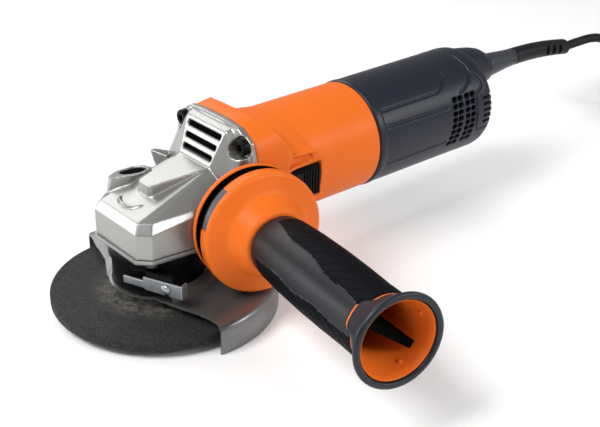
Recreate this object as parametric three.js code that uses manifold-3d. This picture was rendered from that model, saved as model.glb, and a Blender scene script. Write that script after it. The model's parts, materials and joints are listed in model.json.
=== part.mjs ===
// Angle grinder for 125 mm discs, with guard, side handle and mains cord.
// Millimetres, +Z up. The origin is the centre of the spindle's end face, +X runs back along
// the motor to the cord, and the side handle points towards -Y.
import * as THREE from 'three';
import { ConvexGeometry } from 'three/addons/geometries/ConvexGeometry.js';
import { mergeVertices } from 'three/addons/utils/BufferGeometryUtils.js';
import Module from 'manifold-3d';

const wasm = await Module();
wasm.setup();

// Driving dimensions.
const GAP = 0.3;
const FINE = 36;
const ROUND = 24;
const SMALL_ROUND = 12;

const DISC_RADIUS = 62.5;
const DISC_THICKNESS = 6;
const DISC_BORE_RADIUS = 11.2;
const HUB_RISE = 4.5;
const GUARD_RADIUS = 69.3;
const GUARD_BOTTOM = -4.7;
const GUARD_TOP = 13;
const GUARD_SHEET = 1.6;
const COLLAR_TOP = 18;
const COLLAR_INNER = 26.8;
const COLLAR_OUTER = 28.4;
const FLOOR_Z = GUARD_BOTTOM;

const MOTOR_Z = 60.8;
const SEAM_X = 45.5;
const BARREL_RADIUS = 33.4;
const BARREL_BORE = 30.6;
const HOUSING_END_X = 142;
const COVER_RADIUS = 33.7;
const COVER_BORE = 31;
const COVER_END_X = 242;

const CROWN_TEETH = 36;
const PINION_TEETH = 12;
const TEETH_INNER = 13;
const TEETH_OUTER = 20.8;

const LOCK_PIN = [1.2, 23.2];
const LOCK_CAP = [1.2, 23.4];
const LOCK_SLOPE = 0.25;
const LOCK_NOTCHES = 12;
const KEY_TILT = THREE.MathUtils.degToRad(-48);

const HANDLE_BASE = [38.4, -31, 49.2];
const HANDLE_FORWARD = THREE.MathUtils.degToRad(10.5);
const HANDLE_RISE = THREE.MathUtils.degToRad(2.5);
const HANDLE_SEAT = 5.2;
const HANDLE_RING_RADIUS = 34.5;
const HANDLE_FLANGE_RADIUS = 35.2;
const HANDLE_MOUTH_RADIUS = 24.9;
const HANDLE_LENGTH = 155;

const CORD_RADIUS = 3.2;
const COIL_PITCH = 6.7;
const COIL_OUTER_TURN = 41.7;
const COIL_CENTRE = [485, -COIL_OUTER_TURN];
const COIL_LAYERS = 6;

const ORANGE = [0xe8692d, 0.42, 0.0];
const CHARCOAL = [0x34353b, 0.55, 0.0];
const BLACK = [0x17171a, 0.5, 0.0];
const CAST_ALUMINIUM = [0xc3c3bf, 0.38, 0.85];
const STEEL = [0xb4b5b8, 0.28, 0.95];
const DARK_STEEL = [0x54565c, 0.4, 0.9];
const COPPER = [0xb5692f, 0.35, 0.9];
const BRASS = [0xc9a24a, 0.35, 0.9];
const RUBBER = [0x1c1c1e, 0.8, 0.0];
const GREY = [0x84888e, 0.5, 0.1];
const ABRASIVE = [0x2c2b2a, 0.95, 0.0];
const INSULATION = [0xd8cfb0, 0.6, 0.0];

const Y_AXIS = new THREE.Vector3(0, 1, 0);
const Z_AXIS = new THREE.Vector3(0, 0, 1);

const group = new THREE.Group();

// Turns a closed geometry inside out if its faces point inwards, and keeps positions only.
function closed(geometry) {
  const plain = new THREE.BufferGeometry();
  plain.setAttribute('position', geometry.getAttribute('position').clone());
  if (geometry.index) {
    plain.setIndex(geometry.index.clone());
  }
  const merged = mergeVertices(plain, 1e-4);
  const p = merged.getAttribute('position');
  const index = Array.from(merged.index.array);
  const corner = (k) => new THREE.Vector3().fromBufferAttribute(p, index[k]);
  const kept = [];
  let volume = 0;
  for (let k = 0; k < index.length; k += 3) {
    const [a, b, c] = [index[k], index[k + 1], index[k + 2]];
    if (a !== b && b !== c && c !== a) {
      kept.push(a, b, c);
      volume += corner(k).dot(corner(k + 1).cross(corner(k + 2)));
    }
  }
  merged.setIndex(volume < 0 ? kept.reverse() : kept);
  return merged;
}

function toSolid(geometry) {
  const g = closed(geometry);
  const mesh = new wasm.Mesh({
    numProp: 3,
    vertProperties: new Float32Array(g.getAttribute('position').array),
    triVerts: new Uint32Array(g.index.array),
  });
  return new wasm.Manifold(mesh);
}

function toGeometry(solid) {
  const mesh = solid.getMesh();
  const g = new THREE.BufferGeometry();
  g.setAttribute('position', new THREE.BufferAttribute(new Float32Array(mesh.vertProperties), 3));
  g.setIndex(new THREE.BufferAttribute(new Uint32Array(mesh.triVerts), 1));
  return g;
}

function join(...solids) {
  return solids.reduce((whole, piece) => whole.add(piece));
}

function cut(solid, ...tools) {
  return tools.reduce((left, tool) => left.subtract(tool), solid);
}

function add(name, shape, [color, roughness, metalness], parent = group) {
  const geometry = shape instanceof THREE.BufferGeometry ? closed(shape) : toGeometry(shape);
  const material = new THREE.MeshStandardMaterial({ color, roughness, metalness });
  const mesh = new THREE.Mesh(geometry, material);
  mesh.name = name;
  parent.add(mesh);
  return mesh;
}

function boxOf([x0, y0, z0], [x1, y1, z1]) {
  const g = new THREE.BoxGeometry(x1 - x0, y1 - y0, z1 - z0);
  g.translate((x0 + x1) / 2, (y0 + y1) / 2, (z0 + z1) / 2);
  return toSolid(g);
}

function hull(points) {
  return toSolid(new ConvexGeometry(points.map((p) => new THREE.Vector3(...p))));
}

// A closed profile of [radius, height] points, turned about Z.
function turned(profile, around = ROUND) {
  const points = profile.map(([r, h]) => new THREE.Vector2(r, h));
  if (profile[0][0] > 0 || profile[profile.length - 1][0] > 0) {
    points.push(points[0].clone());
  }
  const g = new THREE.LatheGeometry(points, around);
  g.rotateX(Math.PI / 2);
  return toSolid(g);
}

// The same, turned about an axis along X through the motor's centre.
function turnedAlongX(profile, around = ROUND) {
  const g = toGeometry(turned(profile, around));
  g.rotateY(Math.PI / 2);
  g.translate(0, 0, MOTOR_Z);
  return toSolid(g);
}

function rod(radius, from, to, around = SMALL_ROUND) {
  const start = new THREE.Vector3(...from);
  const along = new THREE.Vector3(...to).sub(start);
  const g = new THREE.CylinderGeometry(radius, radius, along.length(), around);
  g.translate(0, along.length() / 2, 0);
  g.applyQuaternion(new THREE.Quaternion().setFromUnitVectors(Y_AXIS, along.clone().normalize()));
  g.translate(start.x, start.y, start.z);
  return toSolid(g);
}

// A ring of points for every section, joined into one closed skin.
function loft(rings) {
  const around = rings[0].length;
  const positions = rings.flat(2);
  const index = [];
  for (let i = 0; i + 1 < rings.length; i += 1) {
    for (let k = 0; k < around; k += 1) {
      const a = i * around + k;
      const b = i * around + (k + 1) % around;
      index.push(a, b, a + around, b, b + around, a + around);
    }
  }
  const last = (rings.length - 1) * around;
  for (let k = 1; k + 1 < around; k += 1) {
    index.push(0, k + 1, k, last, last + k, last + k + 1);
  }
  const g = new THREE.BufferGeometry();
  g.setAttribute('position', new THREE.Float32BufferAttribute(positions, 3));
  g.setIndex(index);
  return toSolid(g);
}

// A flat outline of [x, y] points, raised from z0 to z1.
function plate(outline, z0, z1) {
  const shape = new THREE.Shape(outline.map(([x, y]) => new THREE.Vector2(x, y)));
  const g = new THREE.ExtrudeGeometry(shape, { depth: z1 - z0, bevelEnabled: false });
  g.translate(0, 0, z0);
  return toSolid(g);
}

function mirrored(points) {
  return points.concat(points.map(([x, y, ...rest]) => [x, -y, ...rest]));
}

function mirroredOutline(points) {
  return points.concat(points.map(([x, y]) => [x, -y]).reverse());
}

// Gear head: a faceted casting with the gear chamber, vents and bearing seats.
const NOSE_OUTLINE = [[-27, 20.5], [-20.7, 26.6], [5, 28.8], [20, 31]];

function gearHeadSkin() {
  const sides = NOSE_OUTLINE.concat([[40, 33]]);
  const base = sides.map(([x, y]) => [x, y, 40]);
  const shoulder = sides.map(([x, y]) => [x, y, 55 + Math.max(0, x + 20.7) * 0.155]);
  const deckEdge = [[-24, 18.5, 60.6], [-18, 23.5, 60.6], [8, 24.6, 62.6], [40, 28, 68]];
  const panelFoot = [27.5, 13.8, 76.5];
  const panelTop = [36.7, 17.7, 97];
  const crest = [43, 18.5, 99.3];
  const nose = hull(mirrored([...base, ...shoulder, ...deckEdge, panelFoot]));
  const hump = hull(mirrored([[-7.5, 4.4, 72.5], [-5.7, 6.4, 72.7], panelFoot,
    [-7.5, 4.4, 60], [-5.7, 6.4, 60], [27.5, 13.8, 60]]));
  const tower = hull(mirrored([panelFoot, panelTop, crest, [27.5, 13.8, 60],
    [30, 29, 70.4], [38.5, 30, 84.7], [43, 30, 60], [43, 30, 82], [43, 24, 96]]));
  const underside = hull(mirrored([[20, 29, 41], [20, 31, 44], [43, 33, 44], [43, 22, 27.8],
    [43, 33, 40], [43, 30, 32]]));
  return join(nose, hump, tower, underside, seamFlange(), lockBoss(), handleBoss(-1), handleBoss(1));
}

// The radius of a rounded square section, measured from the motor axis in direction angle.
function squareRadius(angle, halfWidth, up, down, power) {
  const c = Math.abs(Math.cos(angle)) / halfWidth;
  const s = Math.abs(Math.sin(angle)) / (Math.sin(angle) > 0 ? up : down);
  return (c ** power + s ** power) ** (-1 / power);
}

function squareRing(x, halfWidth, up, down, power, around = ROUND) {
  const ring = [];
  for (let k = 0; k < around; k += 1) {
    const angle = 2 * Math.PI * k / around;
    const r = squareRadius(angle, halfWidth, up, down, power);
    ring.push([x, r * Math.cos(angle), MOTOR_Z + r * Math.sin(angle)]);
  }
  return ring;
}

function seamFlange() {
  return loft([
    squareRing(40.6, 34.6, 38.4, 33, 4.6),
    squareRing(41.6, 36, 39.8, 34.4, 4.6),
    squareRing(SEAM_X - GAP, 36, 39.8, 34.4, 4.6),
  ]);
}

// Height of the lock's sloping top, which falls towards the side away from the handle.
function lockTop(y, lift) {
  return 71.4 + lift - LOCK_SLOPE * (y - 15);
}

function lockBoss() {
  const rim = [[-15, 20.8], [-11, 18], [-5.8, 14.8], [7, 14.4], [10.6, 18.5], [11.2, 27], [7, 33.2],
    [-4.5, 33.2], [-12, 28.5]];
  const foot = [[-18.5, 22.5], [-11.4, 17.6], [-5.7, 15], [7.4, 14.6], [11, 18.5], [11.4, 26.5],
    [7, 31.6], [-4.5, 31.6], [-13, 27]];
  return hull([...rim.map(([x, y]) => [x, y, lockTop(y, 0)]), ...foot.map(([x, y]) => [x, y, 56])]);
}

function handleAxis(side) {
  const along = new THREE.Vector3(-Math.tan(HANDLE_FORWARD), side, Math.tan(HANDLE_RISE));
  return along.normalize();
}

function handlePoint(distance, side = -1) {
  const [x, y, z] = HANDLE_BASE;
  const start = new THREE.Vector3(x, side * Math.abs(y), z);
  return start.addScaledVector(handleAxis(side), distance).toArray();
}

function handleBoss(side) {
  const boss = rod(12.5, handlePoint(-14, side), handlePoint(HANDLE_SEAT, side), ROUND);
  return boss.intersect(boxOf([0, -50, 20], [SEAM_X - GAP, 50, 80]));
}

const HOUSING_SCREWS = [[27.6, 90.2], [-27.6, 90.2], [26.5, 34.5], [-26.5, 34.5]];
const COVER_SCREWS = [[-17.5, 20.5], [-17.5, -20.5], [16, 26.6], [16, -26.6]];

function ventSlots() {
  const slots = [];
  for (const [x, z, half] of [[36, 92.9, 15.1], [32.7, 86.8, 14.2], [29.8, 80.7, 13.2]]) {
    slots.push(boxOf([x - 8, -half, z - 1.6], [x + 10, half, z + 1.6]));
  }
  return slots;
}

function gearHousing() {
  const [pinX, pinY] = LOCK_PIN;
  const [capX, capY] = LOCK_CAP;
  const cuts = [
    rod(24.4, [0, 0, 39], [0, 0, 52], ROUND),
    rod(21.8, [0, 0, 51], [0, 0, 59], ROUND),
    rod(8.8, [0, 0, 58], [0, 0, 65]),
    rod(9.4, [7, 0, MOTOR_Z], [28, 0, MOTOR_Z], ROUND),
    rod(14.4, [27.2, 0, MOTOR_Z], [36.2, 0, MOTOR_Z], ROUND),
    rod(11, [36, 0, MOTOR_Z], [47, 0, MOTOR_Z], ROUND),
    hull(mirrored([[31.2, 16, 78.6], [38.6, 16, 95], [47, 16, 95], [47, 16, 76], [38, 16, 76]])),
    ...ventSlots(),
    rod(2.5, [pinX, pinY, 44], [pinX, pinY, 66]),
    rod(7.8, [capX, capY, 60.6], [capX, capY, 73], ROUND),
    rod(4.1, handlePoint(8), handlePoint(-12.5)),
    rod(4.1, handlePoint(8, 1), handlePoint(-12.5, 1)),
  ];
  for (const [y, z] of HOUSING_SCREWS) {
    cuts.push(rod(2.6, [30, y, z], [50, y, z]));
    cuts.push(rod(6.4, [34, y, z], [42.6, y, z]));
  }
  for (const [x, y] of COVER_SCREWS) {
    cuts.push(rod(2, [x, y, 38], [x, y, 49], 12));
  }
  add('gear_housing', cut(gearHeadSkin(), ...cuts), CAST_ALUMINIUM);
}

function bearingCover() {
  const outline = mirroredOutline([[-28.2, 20], [-21.2, 27.2], [2, 29.6], [20, 31.6]]);
  let cover = plate(outline, 36.6, 40 - GAP);
  cover = cut(cover, rod(16.4, [0, 0, 30], [0, 0, 45], ROUND));
  for (const [x, y] of COVER_SCREWS) {
    cover = cut(cover, rod(2.3, [x, y, 30], [x, y, 45], 12));
  }
  add('bearing_cover', cover, CAST_ALUMINIUM);
  COVER_SCREWS.forEach(([x, y], k) => {
    const screw = join(rod(3.6, [x, y, 33.6], [x, y, 36.3], 12), rod(1.7, [x, y, 36], [x, y, 48], 12));
    add(`cover_screw_${k + 1}`, screw, DARK_STEEL);
  });
}

function guardNeck() {
  const neck = turned([[12.5, 19.6], [24.6, 19.6], [24.6, 13.6], [26.2, 13.6], [26.2, 29], [27.9, 30],
    [27.9, 36.3], [16.4, 36.3], [16.4, 23.4], [12.5, 23.4]]);
  const screwRoom = COVER_SCREWS.map(([x, y]) => rod(4.1, [x, y, 33], [x, y, 37], 12));
  const rivetHole = rod(1.9, rivetAt(-3), rivetAt(2), 12);
  add('guard_neck', cut(join(neck, leverBracket()), rivetHole, ...screwRoom), BLACK);
}

function housingScrews() {
  HOUSING_SCREWS.forEach(([y, z], k) => {
    const head = rod(4.7, [38.2, y, z], [42.2, y, z]);
    const socket = rod(2.2, [37, y, z], [40.2, y, z], 6);
    const shank = rod(2.1, [42, y, z], [62, y, z], 12);
    add(`housing_screw_${k + 1}`, join(cut(head, socket), shank), BLACK);
  });
}

// Bevel teeth whose edges all point at the place where the two axes cross.
function bevelTeeth(count, towards, halfAngleRoot, halfAngleTip, rootLift, tipLift) {
  const teeth = [];
  for (let k = 0; k < count; k += 1) {
    const middle = 2 * Math.PI * k / count;
    const points = [];
    for (const reach of [TEETH_INNER, TEETH_OUTER]) {
      for (const [half, lift] of [[halfAngleRoot, rootLift], [halfAngleTip, tipLift]]) {
        for (const side of [-1, 1]) {
          points.push(towards(reach, middle + side * half, lift));
        }
      }
    }
    teeth.push(hull(points));
  }
  return teeth;
}

const PITCH_RATIO = PINION_TEETH / CROWN_TEETH;

function crownGear() {
  const place = (reach, angle, lift) => {
    const z = MOTOR_Z - reach * (PITCH_RATIO - lift);
    return [reach * Math.cos(angle), reach * Math.sin(angle), z];
  };
  const rootAt = (reach) => MOTOR_Z - reach * (PITCH_RATIO + 0.058);
  let gear = turned([[6.4, 42], [11, 42], [11, 46.4], [23.6, 46.4], [23.6, 50], [20.9, 50.6],
    [20.9, rootAt(20.9)], [12.6, rootAt(12.6)], [10, 54.6], [6.4, 54.6]]);
  gear = join(gear, ...bevelTeeth(CROWN_TEETH, place, 0.036, 0.016, -0.07, 0.045));
  for (let k = 0; k < LOCK_NOTCHES; k += 1) {
    const angle = Math.atan2(LOCK_PIN[1], LOCK_PIN[0]) + 2 * Math.PI * k / LOCK_NOTCHES;
    const r = Math.hypot(...LOCK_PIN);
    const [x, y] = [r * Math.cos(angle), r * Math.sin(angle)];
    gear = cut(gear, rod(2.8, [x, y, 45], [x, y, 52], 8));
  }
  add('crown_gear', gear, DARK_STEEL);
}

function pinionGear() {
  const halfTooth = Math.PI / PINION_TEETH;
  const place = (reach, angle, lift) => {
    const r = reach * (PITCH_RATIO + lift);
    return [reach, r * Math.sin(angle + halfTooth), MOTOR_Z - r * Math.cos(angle + halfTooth)];
  };
  const root = (reach) => reach * (PITCH_RATIO - 0.065);
  let gear = turnedAlongX([[2.9, TEETH_INNER - 0.4], [root(TEETH_INNER), TEETH_INNER - 0.4],
    [root(TEETH_OUTER), TEETH_OUTER], [5.4, TEETH_OUTER + 0.4], [5.4, 26.4], [2.9, 26.4]], 24);
  gear = join(gear, ...bevelTeeth(PINION_TEETH, place, 0.12, 0.05, -0.08, 0.05));
  add('pinion_gear', gear, DARK_STEEL);
}

function spindleSet() {
  const spindle = turned([[0, 0], [5.9, 0], [6.9, 1], [6.9, 14.4], [8.6, 14.6], [8.6, 20.4],
    [6, 20.6], [6, 62.6], [5, 63.6], [0, 63.6]], ROUND);
  add('spindle', spindle, STEEL);
  add('spindle_bearing', turned([[6.4, 23.8], [16.1, 23.8], [16.1, 34], [6.4, 34]]), STEEL);
  add('upper_bush', turned([[6.3, 58.3], [8.5, 58.3], [8.5, 64.3], [6.3, 64.3]], ROUND), BRASS);
  crownGear();
  const flange = turned([[7.2, 5.4], [10.9, 5.4], [10.9, 10.8], [20.5, 10.8], [20.5, 12.4],
    [14, 14.2], [7.2, 14.2]]);
  add('inner_flange', flange, DARK_STEEL);
}

function grindingDisc() {
  const top = DISC_THICKNESS + HUB_RISE;
  const disc = turned([[DISC_BORE_RADIUS, HUB_RISE], [19.5, HUB_RISE], [25.5, 0], [DISC_RADIUS, 0],
    [DISC_RADIUS, DISC_THICKNESS], [24, DISC_THICKNESS], [18.5, top], [DISC_BORE_RADIUS, top]], FINE);
  add('grinding_disc', disc, ABRASIVE);
  let nut = turned([[7.2, -0.6], [18.4, -0.6], [19, 0.2], [19, 4.2], [7.2, 4.2]], ROUND);
  for (let k = 0; k < 4; k += 1) {
    const angle = Math.PI / 4 + k * Math.PI / 2;
    const [x, y] = [14 * Math.cos(angle), 14 * Math.sin(angle)];
    nut = cut(nut, rod(2.4, [x, y, -2], [x, y, 2.6], 12));
  }
  add('clamp_nut', nut, DARK_STEEL);
}

// Sheet steel guard: skirt, plate and raised collar, open over the front half of the disc.
function guard() {
  const t = GUARD_SHEET;
  const r = GUARD_RADIUS;
  const dish = turned([[r - t, GUARD_BOTTOM], [r, GUARD_BOTTOM], [r, GUARD_TOP - 4.4],
    [r - 1.3, GUARD_TOP - 1.4], [r - 4.4, GUARD_TOP], [33.4, GUARD_TOP], [COLLAR_OUTER, COLLAR_TOP - 1],
    [COLLAR_INNER, COLLAR_TOP - 1], [COLLAR_INNER, GUARD_TOP + 0.4], [31.6, GUARD_TOP - t],
    [r - 5.2, GUARD_TOP - t], [r - 2.6, GUARD_TOP - 2.6], [r - t, GUARD_TOP - 5]], FINE);
  const frontEdge = [[-90, -90], [-9.5, -90], [-7, -69], [-6, -57.5], [-9.6, -44], [-15, -29],
    [-23, -17.5], [-27, 0], [-24, 18], [-15.5, 34], [-10.5, 49.5], [-4.5, 69], [-2, 90], [-90, 90]];
  const collar = turned([[COLLAR_INNER, GUARD_TOP - 0.6], [COLLAR_OUTER, GUARD_TOP - 0.6],
    [COLLAR_OUTER, COLLAR_TOP], [COLLAR_INNER, COLLAR_TOP]], FINE);
  const lowFront = hull(mirrored([[-14, 40, GUARD_TOP + 0.2], [-40, 40, GUARD_TOP + 0.2],
    [-40, 40, 30], [-6, 40, 30]]));
  add('guard', cut(join(cut(dish, plate(frontEdge, -20, 40)), collar), lowFront), STEEL);
}

const LEVER_START = [-26.6, -7];
const LEVER_DIRECTION = [0.391, -0.92];
const LEVER_PIVOT = 27.8;

function leverPoint(along, off) {
  const [dx, dy] = LEVER_DIRECTION;
  return [LEVER_START[0] + dx * along + dy * off, LEVER_START[1] + dy * along - dx * off];
}

function rivetAt(off) {
  return [...leverPoint(LEVER_PIVOT, off), 24];
}

// The block on the neck that carries the guard lever's rivet.
function leverBracket() {
  const corners = [];
  for (const z of [20.2, 31]) {
    for (const along of [13.8, 31]) {
      corners.push([...leverPoint(along, -2.2), z], [...leverPoint(along, 0.3), z]);
    }
  }
  return hull(corners);
}

function guardLever() {
  const outline = (a, b) => [leverPoint(a, 0.6), leverPoint(b, 0.6), leverPoint(b, 2), leverPoint(a, 2)];
  const arm = join(plate(outline(0, 13.5), 21, 25.5), plate(outline(13, 38), 20, 28),
    plate([leverPoint(36.6, 0.6), leverPoint(38, 0.6), leverPoint(38, -4), leverPoint(36.6, -4)], 20, 28));
  const [px, py] = leverPoint(LEVER_PIVOT, 0);
  const [qx, qy] = leverPoint(LEVER_PIVOT, 4);
  add('guard_lever', cut(arm, rod(1.9, [px, py, 24], [qx, qy, 24], 12)), STEEL);
  const rivet = join(rod(1.6, rivetAt(-1.5), rivetAt(2.6), 16), rod(3, rivetAt(2.3), rivetAt(3.2), 16),
    rod(2, rivetAt(3), rivetAt(3.8), 16));
  add('lever_rivet', rivet, STEEL);
}

// Spindle lock: a round cap on a pin, held up by a coil spring.
function lockButton() {
  const [x, y] = LOCK_CAP;
  const [px, py] = LOCK_PIN;
  const above = [];
  for (const cornerY of [y - 12, y + 12]) {
    for (const z of [lockTop(cornerY, -1), 85]) {
      above.push([x - 12, cornerY, z], [x + 12, cornerY, z]);
    }
  }
  const cap = cut(rod(7.4, [x, y, 65], [x, y, 73], ROUND), hull(above));
  add('lock_button', join(cap, rod(2, [px, py, 51.2], [px, py, 66], 16)), BLACK);
  add('lock_spring', springGeometry(px, py, 60.8, 64.8, 3.6, 4, 0.45), STEEL);
}

function springGeometry(x, y, z0, z1, radius, turns, wire) {
  const steps = turns * 10;
  const path = [];
  for (let k = 0; k <= steps; k += 1) {
    const angle = 2 * Math.PI * turns * k / steps;
    const z = z0 + wire + (z1 - z0 - 2 * wire) * k / steps;
    path.push(new THREE.Vector3(x + radius * Math.cos(angle), y + radius * Math.sin(angle), z));
  }
  return sweep(path, wire, 5, steps);
}

// A round section carried along a smooth path, capped at both ends.
function sweep(path, radius, sides, steps) {
  const section = new THREE.Shape();
  for (let k = 0; k < sides; k += 1) {
    const angle = 2 * Math.PI * k / sides;
    const [x, y] = [radius * Math.cos(angle), radius * Math.sin(angle)];
    if (k === 0) {
      section.moveTo(x, y);
    } else {
      section.lineTo(x, y);
    }
  }
  section.closePath();
  const curve = new THREE.CatmullRomCurve3(path);
  return new THREE.ExtrudeGeometry(section, { steps, extrudePath: curve, bevelEnabled: false });
}

// Motor housing: a square-shouldered hood at the gear head that runs into a round barrel.
function motorHousing() {
  const skin = loft([
    squareRing(SEAM_X, 36, 39.8, 34.4, 4.6),
    squareRing(50, 36.5, 40.4, 34.4, 4.6),
    squareRing(56, 36.6, 40.6, 34.3, 4.4),
    squareRing(60, 36.4, 38.4, 34.2, 4),
    squareRing(65, 35.6, 35.8, 34, 3.2),
    squareRing(71, 34.6, 34.4, 33.7, 2.5),
    squareRing(80, 33.7, 33.7, 33.5, 2.1),
    squareRing(90, BARREL_RADIUS, BARREL_RADIUS, BARREL_RADIUS, 2),
    squareRing(HOUSING_END_X, BARREL_RADIUS, BARREL_RADIUS, BARREL_RADIUS, 2),
  ]);
  const bore = turnedAlongX([[0, SEAM_X - 2], [BARREL_BORE, SEAM_X - 2], [BARREL_BORE, 138.4],
    [0, 138.4]]);
  const shaftHole = rod(10, [138, 0, MOTOR_Z], [150, 0, MOTOR_Z], ROUND);
  const sliderPad = boxOf([60, -32, 43.5], [98, -28.4, 71]);
  const sliderPocket = boxOf([62.4, -40, 46.2], [94.2, -31, 68.6]);
  const rodSlot = boxOf([67.2, -32, 54], [82.4, -27, 62]);
  const rodWindow = boxOf([137, -30, 52.5], [145, -24.6, 63.5]);
  const airWindows = [];
  for (let k = 0; k < 6; k += 1) {
    const angle = Math.PI / 6 + k * Math.PI / 3;
    const [y, z] = [19.5 * Math.cos(angle), MOTOR_Z + 19.5 * Math.sin(angle)];
    airWindows.push(rod(5.5, [137, y, z], [145, y, z], 16));
  }
  const screwHoles = HOUSING_SCREWS.map(([y, z]) => rod(2.4, [44, y, z], [63, y, z], 12));
  const ramp = hull([[70, -40, 68], [94.2, -40, 68], [88, -40, 75], [76, -40, 77],
    [70, -31.2, 68], [94.2, -31.2, 68], [88, -32.6, 73.5], [76, -32.6, 73.5]]);
  const shell = cut(join(cut(skin, bore), sliderPad), shaftHole, sliderPocket, ramp, rodSlot, rodWindow,
    ...airWindows, ...screwHoles);
  add('motor_housing', shell, ORANGE);
}

function switchSlider() {
  let slider = hull([[69.6, -31.3, 47], [93.4, -31.3, 47], [69.6, -31.3, 67.8], [93.4, -31.3, 67.8],
    [70.4, -34.6, 49], [92.8, -34.2, 49], [70.4, -34.6, 66], [92.8, -34.2, 66]]);
  for (let k = 0; k < 7; k += 1) {
    const x = 74 + k * 2.6;
    slider = cut(slider, boxOf([x, -36, 48], [x + 1.1, -33.8, 67]));
  }
  const lug = boxOf([74.2, -31.6, 55], [81.8, -27, 61]);
  const drawbar = boxOf([74.2, -27.6, 55], [160, -26, 61]);
  add('switch_slider', join(slider, lug, drawbar), BLACK);
}

function armature() {
  const shaft = turnedAlongX([[0, 11], [2.6, 11], [2.6, 26.6], [4, 26.9], [4, 153], [0, 153]], 24);
  add('armature_shaft', shaft, STEEL);
  pinionGear();
  add('front_bearing', turnedAlongX([[4.4, 27.6], [14.1, 27.6], [14.1, 35.8], [4.4, 35.8]]), STEEL);
  add('rear_bearing', turnedAlongX([[4.3, 145.6], [8.6, 145.6], [8.6, 151.6], [4.3, 151.6]], ROUND), STEEL);
  const sleeve = turnedAlongX([[8.9, 142.4], [11.4, 142.4], [11.4, 154.4], [4.4, 154.4], [4.4, 153.4],
    [8.9, 153.4]], ROUND);
  add('rear_bearing_sleeve', sleeve, RUBBER);
  armatureCore();
  for (const [name, x0, x1] of [['front_winding', 66.4, 75.7], ['rear_winding', 116.3, 125]]) {
    add(name, turnedAlongX([[4.3, x0], [12, x0], [15.4, x0 + 2.5], [15.4, x1 - 1.5], [12, x1], [4.3, x1]],
      32), COPPER);
  }
  commutator();
  fan();
}

function armatureCore() {
  let core = turnedAlongX([[4.3, 76], [17.6, 76], [17.6, 116], [4.3, 116]], 48);
  for (let k = 0; k < 9; k += 1) {
    const angle = 2 * Math.PI * (k + 0.5) / 9;
    const [y, z] = [17.4 * Math.cos(angle), MOTOR_Z + 17.4 * Math.sin(angle)];
    core = cut(core, rod(1.3, [75, y, z], [117, y, z], 8));
  }
  add('armature_core', core, DARK_STEEL);
}

function commutator() {
  let bars = turnedAlongX([[4.3, 125.6], [12.4, 125.6], [12.4, 127.4], [10.6, 127.6], [10.6, 137.6],
    [4.3, 137.6]], 48);
  for (let k = 0; k < 12; k += 1) {
    const angle = 2 * Math.PI * (k + 0.5) / 12;
    const [y, z] = [10.8 * Math.cos(angle), MOTOR_Z + 10.8 * Math.sin(angle)];
    bars = cut(bars, rod(0.35, [127.9, y, z], [140, y, z], 4));
  }
  add('commutator', bars, COPPER);
}

function fan() {
  let wheel = turnedAlongX([[4.3, 48], [9, 48], [9, 56], [24, 58.4], [24, 60], [4.3, 60]], ROUND);
  for (let k = 0; k < 10; k += 1) {
    const blade = toGeometry(boxOf([48.4, 8, -0.7], [58.9, 23.4, 0.7]));
    blade.rotateX(2 * Math.PI * k / 10);
    blade.translate(0, 0, MOTOR_Z);
    wheel = join(wheel, toSolid(blade));
  }
  add('fan', wheel, BLACK);
  const baffle = turnedAlongX([[20, 61.6], [30.2, 61.6], [30.2, 65.6], [26, 65.6], [20, 63.2]]);
  add('air_baffle', cut(baffle, boxOf([60, -40, 40], [68, -28, 80])), CHARCOAL);
}

function stator() {
  const ring = turnedAlongX([[18.6, 76], [28.8, 76], [28.8, 116], [18.6, 116]]);
  const cuts = [boxOf([75, -40, 20], [117, -24.4, 100]), boxOf([75, 24.4, 20], [117, 40, 100])];
  for (const [name, side] of [['upper_field_coil', 1], ['lower_field_coil', -1]]) {
    const [z0, z1] = side > 0 ? [MOTOR_Z + 8, MOTOR_Z + 40] : [MOTOR_Z - 40, MOTOR_Z - 8];
    const arch = turnedAlongX([[19.2, 68], [25, 68], [25, 124], [19.2, 124]]);
    const loop = arch.intersect(boxOf([67, -18, z0], [125, 18, z1]));
    add(name, cut(loop, boxOf([75.6, -12, 20], [116.4, 12, 100])), COPPER);
    for (const [y0, y1] of [[-18.4, -11.6], [11.6, 18.4]]) {
      const slot = turnedAlongX([[18, 74], [25.4, 74], [25.4, 118], [18, 118]]);
      cuts.push(slot.intersect(boxOf([73, y0, z0 - 0.5], [119, y1, z1 + 0.5])));
    }
  }
  add('stator_core', cut(ring, ...cuts), DARK_STEEL);
}

function brushGear() {
  for (const [name, side] of [['upper', 1], ['lower', -1]]) {
    const at = (h) => MOTOR_Z + side * h;
    const span = (h0, h1) => [Math.min(at(h0), at(h1)), Math.max(at(h0), at(h1))];
    const [h0, h1] = span(12.6, 29.4);
    const [b0, b1] = span(11, 24);
    const [c0, c1] = span(11.8, 27.6);
    const holder = cut(boxOf([127, -6.5, h0], [137.4, 6.5, h1]), boxOf([129.3, -3.6, c0], [135.2, 3.6, c1]));
    add(`${name}_brush_holder`, holder, INSULATION);
    add(`${name}_carbon_brush`, boxOf([129.6, -3.3, b0], [134.9, 3.3, b1]), DARK_STEEL);
  }
}

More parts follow.
